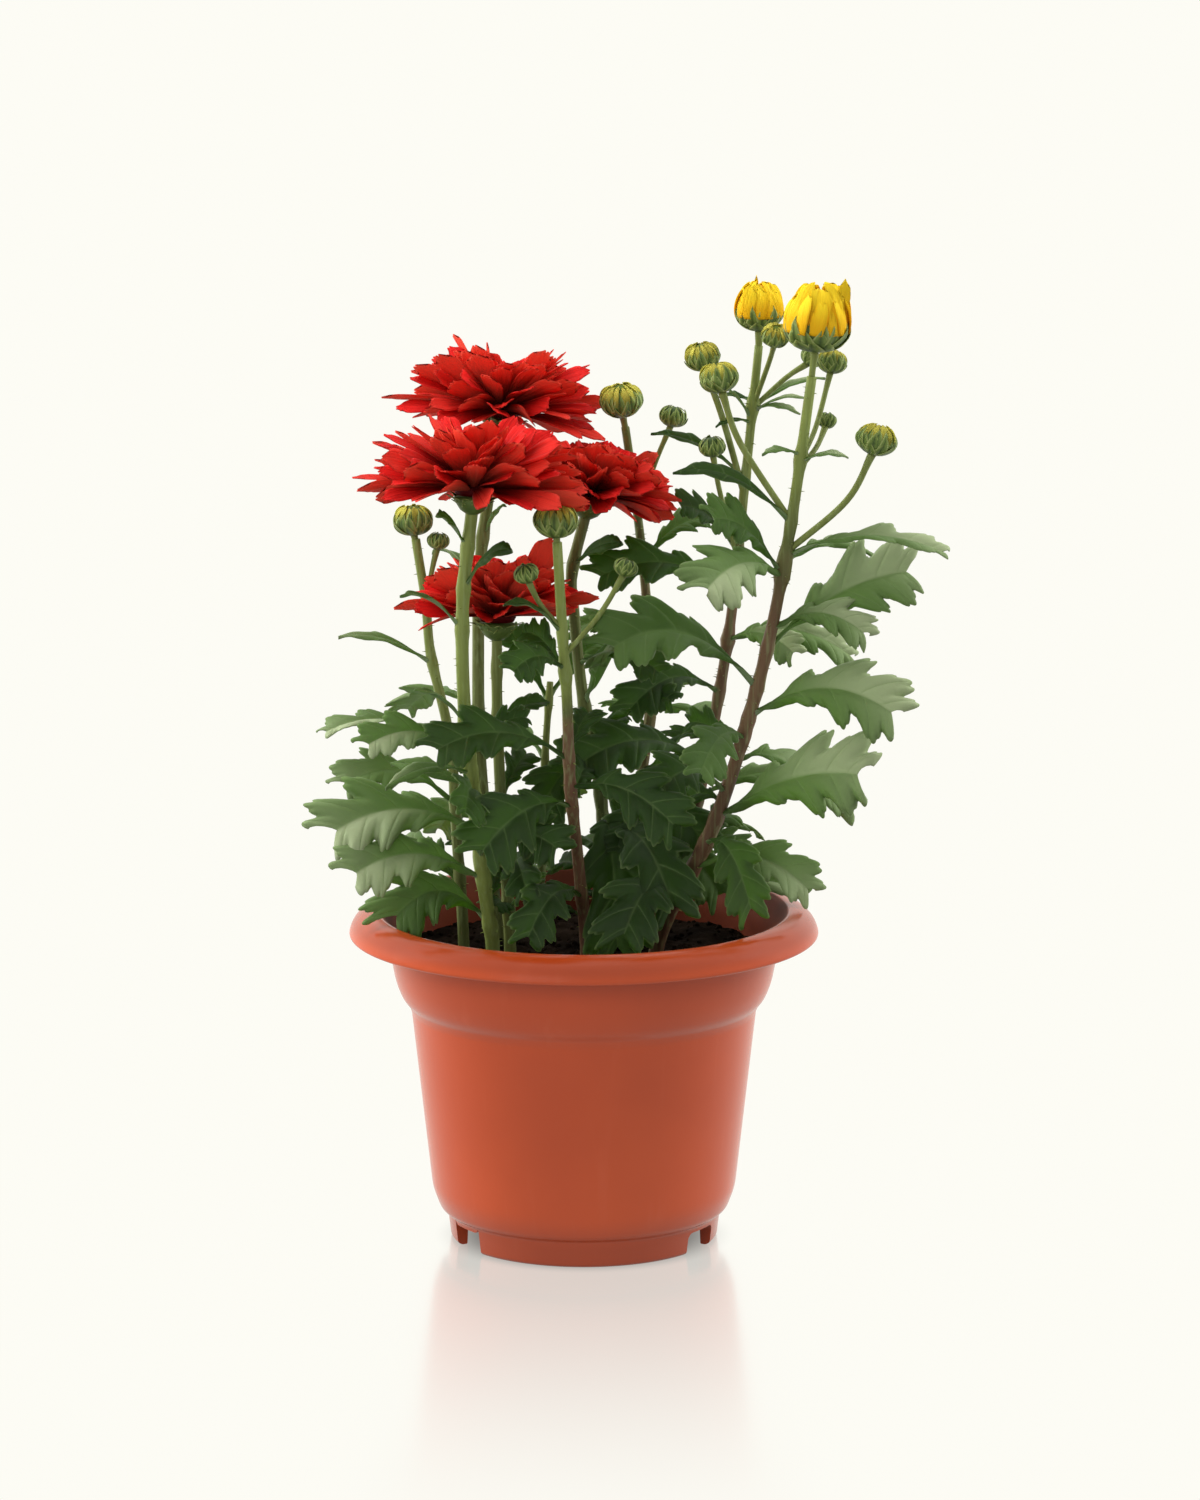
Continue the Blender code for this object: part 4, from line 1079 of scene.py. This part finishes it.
def scatter_tree(name, grain, inputs, upright):
    """Geometry Nodes that scatter grains of many sizes over a surface, upright on it or turned anyhow."""
    tree, nodes, asked = new_tree(name, "Surface", SCATTER_INPUTS, "Grains")
    spread = {"Mesh": asked["Surface"], "Density": asked["Density"], "Seed": asked["Seed"]}
    points = nodes.add("GeometryNodeDistributePointsOnFaces", {}, spread)
    if upright:
        turn = Value(nodes, points.socket.node.outputs["Rotation"])
    else:
        anyhow = {0: (0, 0, 0), 1: (6.3, 6.3, 6.3), "Seed": asked["Seed"]}
        turn = nodes.add("FunctionNodeRandomValue", {"data_type": "FLOAT_VECTOR"}, anyhow)
    sizes = {2: asked["Smallest"], 3: asked["Largest"], "Seed": asked["Seed"] + 1}
    size = nodes.add("FunctionNodeRandomValue", {"data_type": "FLOAT"}, sizes, output=1)
    shape = nodes.add(grain, {}, inputs)
    placed = {"Points": points, "Instance": shape, "Rotation": turn, "Scale": size}
    grains = nodes.add("GeometryNodeInstanceOnPoints", {}, placed)
    grains = nodes.add("GeometryNodeRealizeInstances", {}, {"Geometry": grains})
    place = nodes.add("GeometryNodeInputPosition")
    lumps = nodes.add("ShaderNodeTexNoise", {}, {"Vector": place, "Scale": 900.0}, output="Color")
    lumps = nodes.add("ShaderNodeVectorMath", {"operation": "SUBTRACT"}, {0: lumps, 1: (0.5, 0.5, 0.5)})
    scale = {0: lumps, "Scale": asked["Roughness"]}
    lumps = nodes.add("ShaderNodeVectorMath", {"operation": "SCALE"}, scale)
    grains = nodes.add("GeometryNodeSetPosition", {}, {"Geometry": grains, "Offset": lumps})
    grains = nodes.add("GeometryNodeSetMaterial", {}, {"Geometry": grains, "Material": asked["Finish"]})
    nodes.add("NodeGroupOutput", {}, {"Grains": grains})
    return tree


def scattered(shape, tree, surface, finish, density, sizes, roughness, seed, **values):
    """Adds the grains that the tree scatters over a surface, given as points in millimetres and faces."""
    mesh = bpy.data.meshes.new("surface")
    mesh.from_pydata((np.asarray(surface[0]) * MM).tolist(), [], surface[1])
    settings = {
        "Density": density,
        "Smallest": sizes[0],
        "Largest": sizes[1],
        "Roughness": roughness,
        "Seed": seed,
        "Finish": finish,
    }
    made = made_by(tree, mesh, settings)
    shape.add_mesh(made, finish, Matrix.Identity(4), **values)
    bpy.data.meshes.remove(made)
    bpy.data.meshes.remove(mesh)


def made_by(tree, mesh, settings):
    """The plain mesh that the Geometry Nodes tree makes of a mesh with these settings."""
    source = new_object("source", mesh)
    modifier = source.modifiers.new("Nodes", "NODES")
    modifier.node_group = tree
    for item in tree.interface.items_tree:
        if item.in_out == "INPUT" and item.name in settings:
            modifier[item.identifier] = settings[item.name]
    graph = bpy.context.evaluated_depsgraph_get()
    made = bpy.data.meshes.new_from_object(source.evaluated_get(graph))
    bpy.data.objects.remove(source)
    return made


class Ring:
    """Sets rings of petals or scales into a shape."""

    def __init__(self):
        self.tree = petal_ring_tree()
        self.blades = {name: blade_mesh(name, *plan) for name, plan in BLADES.items()}

    def add(
        self, shape, blade, matrix, finish, count, turn, length, width, root, rises,
        share=1.0, cupping=20.0, disorder=1.0, lifts=(0, 0), roll=0.0, seed=0,
    ):
        """Lengths are in millimetres, and rises, lifts and roll in degrees. root is (radius, height)."""
        settings = {
            "Count": count,
            "First turn": turn,
            "Length": length * MM,
            "Width": width * MM,
            "Root radius": root[0] * MM,
            "Root height": root[1] * MM,
            "Rise at root": math.radians(rises[0]),
            "Rise at tip": math.radians(rises[1]),
            "Height share": share,
            "Cupping": cupping,
            "Disorder": disorder,
            "Front lift": math.radians(lifts[0]),
            "Side lift": math.radians(lifts[1]),
            "Roll": math.radians(roll),
            "Seed": seed,
            "Finish": finish,
        }
        mesh = made_by(self.tree, self.blades[blade], settings)
        shape.add_mesh(mesh, finish, matrix)
        bpy.data.meshes.remove(mesh)

    def hug(self, shape, blade, matrix, finish, count, turn, radius, height, angles, width, **others):
        """A ring that lies on a ball of this radius and half height, between two angles from its bottom."""
        start, end = angles
        root = (radius * math.sin(math.radians(start)), -radius * math.cos(math.radians(start)))
        length = radius * math.radians(end - start)
        others |= {"share": height / radius, "cupping": 0.5 / (radius * MM)}
        self.add(shape, blade, matrix, finish, count, turn, length, width, root, angles, **others)


def scaled(profile, size):
    return [(radius * size, height * size) for radius, height in profile]


def bud_cup(shape, ring, matrix, radius, kind, finish, seed):
    """The green scales round a bud, over a closed body."""
    turned(shape, scaled(BUD_BODIES[kind], radius), BODY_STEPS, finish, matrix)
    for row, (count, end, width) in enumerate(SCALES[kind]):
        size = radius * (SCALE_SIZE - SCALE_SIZE_STEP * row)
        angles = (SCALE_START + SCALE_START_STEP * row, end)
        look = {"disorder": 0.4, "seed": seed + row}
        ball = (size, SCALE_HEIGHT * size)
        ring.hug(shape, "bract", matrix, finish, count, 0.5 * row, *ball, angles, width * radius, **look)


def bud_heart(node, ring, matrix, radius, kind, finish, seed):
    """The petals that show in an opening bud's cup, as a piece of their own."""
    shape = Shape([finish])
    top = HEART_TOPS[kind]
    body = [(0, 0.1), (0.72, 0.12), (0.68, 0.6 * top), (0.4, 0.92 * top), (0, top)]
    turned(shape, scaled(body, radius), BODY_STEPS, finish, matrix, upper=1.0)
    for row, (count, end, size, tall, width) in enumerate(FOLDED_PETALS[kind]):
        angles = (FOLDED_START, end)
        look = {"disorder": 0.7, "seed": seed + 3 * row}
        ball = (radius * size, tall * radius)
        ring.hug(shape, "slim", matrix, finish, count, 0.4 * row, *ball, angles, width * radius, **look)
    root = tuple(part * radius for part in UPRIGHT_ROOT)
    for turn, rise, length, width, roll in UPRIGHT_PETALS.get(node, []):
        spin = matrix @ Matrix.Rotation(math.radians(turn), 4, "Z")
        size = (length * radius, width * radius)
        look = {"cupping": 40.0, "disorder": 0.0, "roll": roll, "seed": seed}
        ring.add(shape, "slim", spin, finish, 1, 0.0, *size, root, (rise - 8, rise + 4), **look)
    heart = shape.piece(f"petals_{node}")
    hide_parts(node)


def at_height(points, height):
    """The place on the curve at this height."""
    return np.array([np.interp(height, points[:, 2], points[:, axis]) for axis in range(3)])


def axil_leaves(points, number):
    """Small leaves that sprout between the larger ones on the lower half of a stem."""
    draw = random.Random(AXIL_SEED + number)
    lowest, highest, step = AXIL_HEIGHTS
    found = []
    for height in np.arange(lowest, min(points[-1, 2] - step, highest), step):
        place = at_height(points, height + draw.uniform(-3, 3))
        turn = draw.uniform(0, 2 * math.pi)
        reach = draw.uniform(10, 18)
        rise = draw.uniform(-2, 14)
        tip = (place[0] + reach * math.cos(turn), place[1] + reach * math.sin(turn), place[2] + rise)
        if math.hypot(tip[0], tip[1]) < AXIL_REACH:
            width = draw.uniform(8.6, 11.5)
            arch = draw.uniform(0.08, 0.2)
            found.append((place[2], tip, width, arch, draw.uniform(0, 50)))
    return found


def add_bud(shape, ring, base, middle, place, radius, kind, node, finishes, seed):
    """A bud on its stalk, from its base on the stem."""
    direction = (Vector(place) - Vector(middle)).normalized() + BUD_LIFT * Vector((0, 0, 1))
    end = Vector(place) - direction.normalized() * STALK_END * radius
    stalk = smooth_route([base, middle, end], STALK_STEP)
    count = len(stalk)
    widening = 1 + STALK_WIDENING * np.clip((np.arange(count) - count + 4) / 3, 0, 1)
    radii = STALK_RADII[0 if radius > LARGE_BUD else 1] * widening
    tube(shape, stalk, radii, finishes["stem skin"], STALK_SIDES, draw=np.full(count, STALK_TONE))
    matrix = facing(place, direction)
    bud_cup(shape, ring, matrix, radius, kind, finishes["bract"], seed)
    if kind != "closed":
        petals = finishes["yellow petal" if kind == "yellow" else "bud petal"]
        bud_heart(node, ring, matrix, radius, kind, petals, seed)


def add_calyx(shape, ring, matrix, finish, seed):
    """The green cup under a bloom."""
    turned(shape, CALYX_PROFILE, BODY_STEPS, finish, matrix, across=0.2)
    radius, height = CALYX_ROOT
    for row, (count, length, end) in enumerate(CALYX_ROWS):
        size = (length, CALYX_SCALE_WIDTH)
        look = {"disorder": 0.5, "seed": seed + row}
        root = (radius, height + row)
        ring.add(shape, "bract", matrix, finish, count, 0.3 * row, *size, root, (CALYX_RISE, end), **look)


def leafy_stem(name, plan, ring, hairs, finishes, number):
    """A stem with its leaves, buds, calyx and hairs."""
    skin, bract = finishes["stem skin"], finishes["bract"]
    blades = (finishes["leaf top"], finishes["leaf underside"])
    shape = Shape([skin, *blades, bract])
    route = list(plan["route"])
    calyx = BLOOMS[plan["bloom"]][:2] if "bloom" in plan else None
    if calyx:
        direction = np.array(calyx[1], float)
        route.append(tuple(np.array(calyx[0]) - STEM_END * direction / np.linalg.norm(direction)))
    points = smooth_route(route, STEM_STEP)
    heights = points[:, 2]
    share = (heights - heights[0]) / (heights[-1] - heights[0])
    low, high = plan["radii"]
    radii = STEM_SLIMNESS * (low + (high - low) * share)
    for height, *_ in plan["leaves"]:
        radii = radii * (1 + SWELL * np.exp(-(((heights - height) / SWELL_LENGTH) ** 2)))
    tone = np.interp(heights, *zip(*plan["tones"]))
    surface = tube(shape, points, radii, skin, STEM_SIDES, STEM_RIDGES, draw=tone, along=share)
    scattered(shape, hairs, surface, skin, HAIR_DENSITY, HAIR_SIZES, 0.0, number, draw=1.0)
    leaves = plan["leaves"] + plan.get("more", []) + axil_leaves(points, number)
    for count, (height, tip, width, arch, lean, *given) in enumerate(leaves):
        # Outer leaves get painted light and inner ones painted shade, unless a paleness is given.
        outward = (max(abs(tip[0]), tip[1]) - INNER_LEAVES) / PALE_REACH
        pale = given[0] if given else outward
        leaf(shape, at_height(points, height), tip, width, arch, lean, 1000 * number + count, blades, pale)
    for count, (height, *bud) in enumerate(plan.get("buds", []), 1):
        node = f"{name.replace('stem_', 'bud_')}_{count}"
        add_bud(shape, ring, at_height(points, height), *bud, node, finishes, 100 * number + 10 * count)
    if calyx:
        add_calyx(shape, ring, facing(*calyx), bract, 100 * number)
    piece = shape.piece(f"leafy_{name}")
    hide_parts(name)


def bloom(name, plan, ring, finish):
    """Rings of petals over a closed core, and the single petals that stand out of them."""
    place, direction, reach, (more, front, side), seed = plan
    shape = Shape([finish])
    matrix = facing(place, direction)
    turned(shape, CORE_PROFILE, BODY_STEPS, finish, matrix, upper=1.0)
    longest = reach - 0.4 * CORE_RADIUS
    for row, (count, part, start, end) in enumerate(PETAL_RINGS):
        root = (CORE_RADIUS * (0.55 - 0.06 * row), 1.6 + 0.55 * row)
        rises = (start + more, end + more)
        lifts = (front, side * math.sin(math.pi * (row + 1) / (len(PETAL_RINGS) + 1)))
        turn = (row % 2) * math.pi / count
        size = (longest * part, PETAL_WIDTH)
        look = {"cupping": PETAL_CUPPING, "lifts": lifts, "seed": seed + 100 * row}
        ring.add(shape, "petal", matrix, finish, count, turn, *size, root, rises, **look)
    for turn, start, end, length, width, roll in LOOSE_PETALS[name]:
        turn = math.radians(turn)
        look = {"cupping": LOOSE_CUPPING, "disorder": 0.0, "roll": roll, "seed": seed}
        ring.add(shape, "petal", matrix, finish, 1, turn, length, width, LOOSE_ROOT, (start, end), **look)
    piece = shape.piece(f"petals_{name}")
    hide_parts(name)


def rounded(profile):
    """The profile as (radius, height) with each corner drawn as a small curve."""
    smooth = []
    for i, (radius, height, reach) in enumerate(profile):
        here = np.array((radius, height))
        if reach == 0:
            smooth.append((radius, height))
            continue
        ends = []
        for other in (profile[i - 1], profile[(i + 1) % len(profile)]):
            edge = np.array(other[:2]) - here
            ends.append(here + edge * min(CORNER_SHARE, reach / np.linalg.norm(edge)))
        for s in np.linspace(0, 1, CORNER_STEPS):
            smooth.append(tuple(ends[0] * (1 - s) ** 2 + here * 2 * s * (1 - s) + ends[1] * s**2))
    return smooth


def pot_cutters(degrees):
    """What is cut out of the pot in one direction: a notch in its foot, and a drain hole farther in."""
    angle = math.radians(degrees)
    outward = Vector((math.cos(angle), math.sin(angle), 0))
    notch = bmesh.new()
    bmesh.ops.create_cube(notch, size=1)
    size = Matrix.Diagonal((NOTCH_DEPTH, NOTCH_WIDTH, 2 * NOTCH_TOP, 1))
    turn = Matrix.Rotation(angle, 4, "Z")
    notch.transform(Matrix.Translation(outward * NOTCH_RING) @ turn @ size)
    rounding = {"offset": NOTCH_ROUNDING, "segments": 4, "affect": "EDGES", "profile": 0.5}
    bmesh.ops.bevel(notch, geom=notch.edges, **rounding)
    drain = bmesh.new()
    size = {"radius1": DRAIN_RADIUS, "radius2": DRAIN_RADIUS, "depth": DRAIN_DEPTH}
    bmesh.ops.create_cone(drain, cap_ends=True, segments=32, **size)
    drain.transform(Matrix.Translation(outward * DRAIN_RING + Vector((0, 0, DRAIN_HEIGHT))))
    return notch, drain


def pot(finish):
    """The moulded pot, with three notches in its foot and a drain hole over each."""
    profile = rounded(POT_PROFILE)
    first = next(i for i, (radius, _) in enumerate(profile) if radius == 0)
    profile = profile[first + 1 :] + profile[: first + 1]
    shape = Shape([finish])
    turned(shape, profile, POT_STEPS, finish, Matrix.Identity(4))
    item = shape.piece("moulded_pot")
    cutters = bpy.data.collections.new("pot cutters")
    for degrees in NOTCH_ANGLES:
        for cutter in pot_cutters(degrees):
            cutter.transform(Matrix.Scale(MM, 4))
            mesh = bpy.data.meshes.new("cutter")
            cutter.to_mesh(mesh)
            cutter.free()
            cutters.objects.link(bpy.data.objects.new("cutter", mesh))
    cut = item.modifiers.new("Cut", "BOOLEAN")
    cut.operation = "DIFFERENCE"
    cut.operand_type = "COLLECTION"
    cut.collection = cutters
    cut.solver = "EXACT"
    graph = bpy.context.evaluated_depsgraph_get()
    mesh = bpy.data.meshes.new_from_object(item.evaluated_get(graph))
    item.modifiers.clear()
    item.data = mesh
    for cutter in list(cutters.objects):
        bpy.data.objects.remove(cutter)
    bpy.data.collections.remove(cutters)
    mesh.set_sharp_from_angle(angle=SHARP_EDGE)
    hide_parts("pot")


def soil(finish, crumbs):
    """The soil's rough top, closed below where the pot hides it, and its loose crumbs."""
    shape = Shape([finish])
    rings = []
    for radius in SOIL_RADIUS * np.linspace(0, 1, SOIL_RINGS + 1)[1:]:
        ring = circle(radius, SOIL_TOP, SOIL_STEPS)
        for point in ring:
            spot = Vector(point)
            rough = noise.fractal(spot / LUMP_SIZE, 0.7, 2.1, 5)
            point[2] += LUMP_HEIGHT * rough + CLOD_HEIGHT * noise.noise(spot / CLOD_SIZE)
        rings.append(ring)
    floor = rings[-1].copy()
    floor[:, 2] = SOIL_FLOOR
    points = np.concatenate([*rings, floor, [(0, 0, SOIL_TOP + SOIL_MIDDLE_RISE), (0, 0, SOIL_FLOOR)]])
    count = len(rings) + 1
    faces = grid_faces(count, SOIL_STEPS, closed=True, flipped=True)
    top = count * SOIL_STEPS
    faces += [[top, j, (j + 1) % SOIL_STEPS] for j in range(SOIL_STEPS)]
    last = (count - 1) * SOIL_STEPS
    faces += [[top + 1, last + (j + 1) % SOIL_STEPS, last + j] for j in range(SOIL_STEPS)]
    shape.add(points, faces, finish)
    shown = [face for face in faces if max(face) < (SOIL_RINGS - 2) * SOIL_STEPS]
    grains = (CRUMB_DENSITY, CRUMB_SIZES, CRUMB_LUMPS * MM, CRUMB_SEED)
    scattered(shape, crumbs, (points, shown), finish, *grains)
    piece = shape.piece("potting_soil")
    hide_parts("soil")


def aim(item, place, direction):
    """Sets a light or the camera at a place in metres and turns it to look in a direction."""
    item.location = place
    item.rotation_mode = "QUATERNION"
    item.rotation_quaternion = direction.to_track_quat("-Z", "Y")


def light(name, place, size, power):
    data = bpy.data.lights.new(name, "AREA")
    data.shape = "RECTANGLE"
    data.size, data.size_y = size
    data.energy = power
    lamp = new_object(name, data)
    aim(lamp, place, LIGHT_AIM - Vector(place))
    lamp.visible_camera = False
    lamp.visible_glossy = False


def looked_at(nodes):
    """1 for what the camera sees, straight or mirrored, and 0 for the light that falls on things."""
    seen = nodes.add("ShaderNodeLightPath", output="Is Camera Ray")
    return seen.larger(nodes.add("ShaderNodeLightPath", output="Is Glossy Ray"))


def floor_paint(nodes):
    """A pale studio floor that glows evenly, but for a painted shadow that dims it under the pot, and mirrors
    the pot faintly near it.
    """
    mirror = nodes.add("ShaderNodeBsdfAnisotropic", {}, {"Color": (1, 1, 1, 1), "Roughness": 0.16})
    away = nodes.add("ShaderNodeVectorMath", {"operation": "LENGTH"}, {0: nodes.place()}, output=1)
    near = 1 - away.between(0.03, 0.40)
    # Painted shadow: the floor's glow is dimmed to 0.30 of itself under the pot and just round its foot.
    painted_shadow_factor = 0.30 + 0.70 * away.between(0.028, 0.046)
    strength = painted_shadow_factor * (0.38 + 0.62 * looked_at(nodes))
    glow = nodes.add("ShaderNodeEmission", {}, {"Color": PALE, "Strength": strength})
    return nodes.add("ShaderNodeMixShader", {}, {0: 0.38 * near * near, 1: glow, 2: mirror})


def surroundings_paint(nodes):
    """Evenly pale where it is seen or mirrored. Its light is brighter behind the plant than in front."""
    toward = nodes.add("ShaderNodeTexCoord", output="Generated")
    back = nodes.parts(toward)[1].between(-0.7, 0.6)
    whole = looked_at(nodes)
    strength = whole + (1 - whole) * (0.32 + 0.72 * back)
    return nodes.add("ShaderNodeBackground", {}, {"Color": PALE, "Strength": strength})


def studio():
    """The floor, the camera, the pale surroundings and the soft lights."""
    sheet = bmesh.new()
    bmesh.ops.create_circle(sheet, cap_ends=True, segments=64, radius=FLOOR_RADIUS)
    mesh = bpy.data.meshes.new("studio_floor")
    sheet.to_mesh(mesh)
    sheet.free()
    mesh.materials.append(finish_of("pale floor", floor_paint))
    floor = new_object("studio_floor", mesh)
    world = bpy.data.worlds.new("pale surroundings")
    bpy.context.scene.world = world
    world.use_nodes = True
    world.node_tree.nodes.clear()
    nodes = Nodes(world.node_tree)
    nodes.add("ShaderNodeOutputWorld", {}, {"Surface": surroundings_paint(nodes)})
    for name, plan in LIGHTS.items():
        light(name, *plan)
    data = bpy.data.cameras.new("camera")
    data.lens = CAMERA_LENS
    data.clip_end = 200
    camera = new_object("camera", data)
    back = Vector((0, -math.cos(CAMERA_RISE), math.sin(CAMERA_RISE)))
    aim(camera, CAMERA_TARGET + back * CAMERA_DISTANCE, -back)
    bpy.context.scene.camera = camera
    bpy.context.scene.view_settings.view_transform = "Standard"


PAINTS = {
    "pot plastic": pot_plastic,
    "soil crust": soil_crust,
    "stem skin": stem_skin,
    "leaf top": leaf_top,
    "leaf underside": leaf_underside,
    "bract": bract_skin,
}


def build():
    finishes = {name: finish_of(name, paint) for name, paint in PAINTS.items()}
    for name, colors in PETAL_COLORS.items():
        finishes[name] = finish_of(name, petal_skin, *colors)
    studio()
    ring = Ring()
    hairs = scatter_tree("stem hairs", "GeometryNodeMeshCone", HAIR, upright=True)
    crumbs = scatter_tree("soil crumbs", "GeometryNodeMeshIcoSphere", CRUMB, upright=False)
    pot(finishes["pot plastic"])
    soil(finishes["soil crust"], crumbs)
    for number, (name, plan) in enumerate(STEMS.items(), 1):
        leafy_stem(name, plan, ring, hairs, finishes, number)
    for name, plan in BLOOMS.items():
        bloom(name, plan, ring, finishes["red petal"])


build()
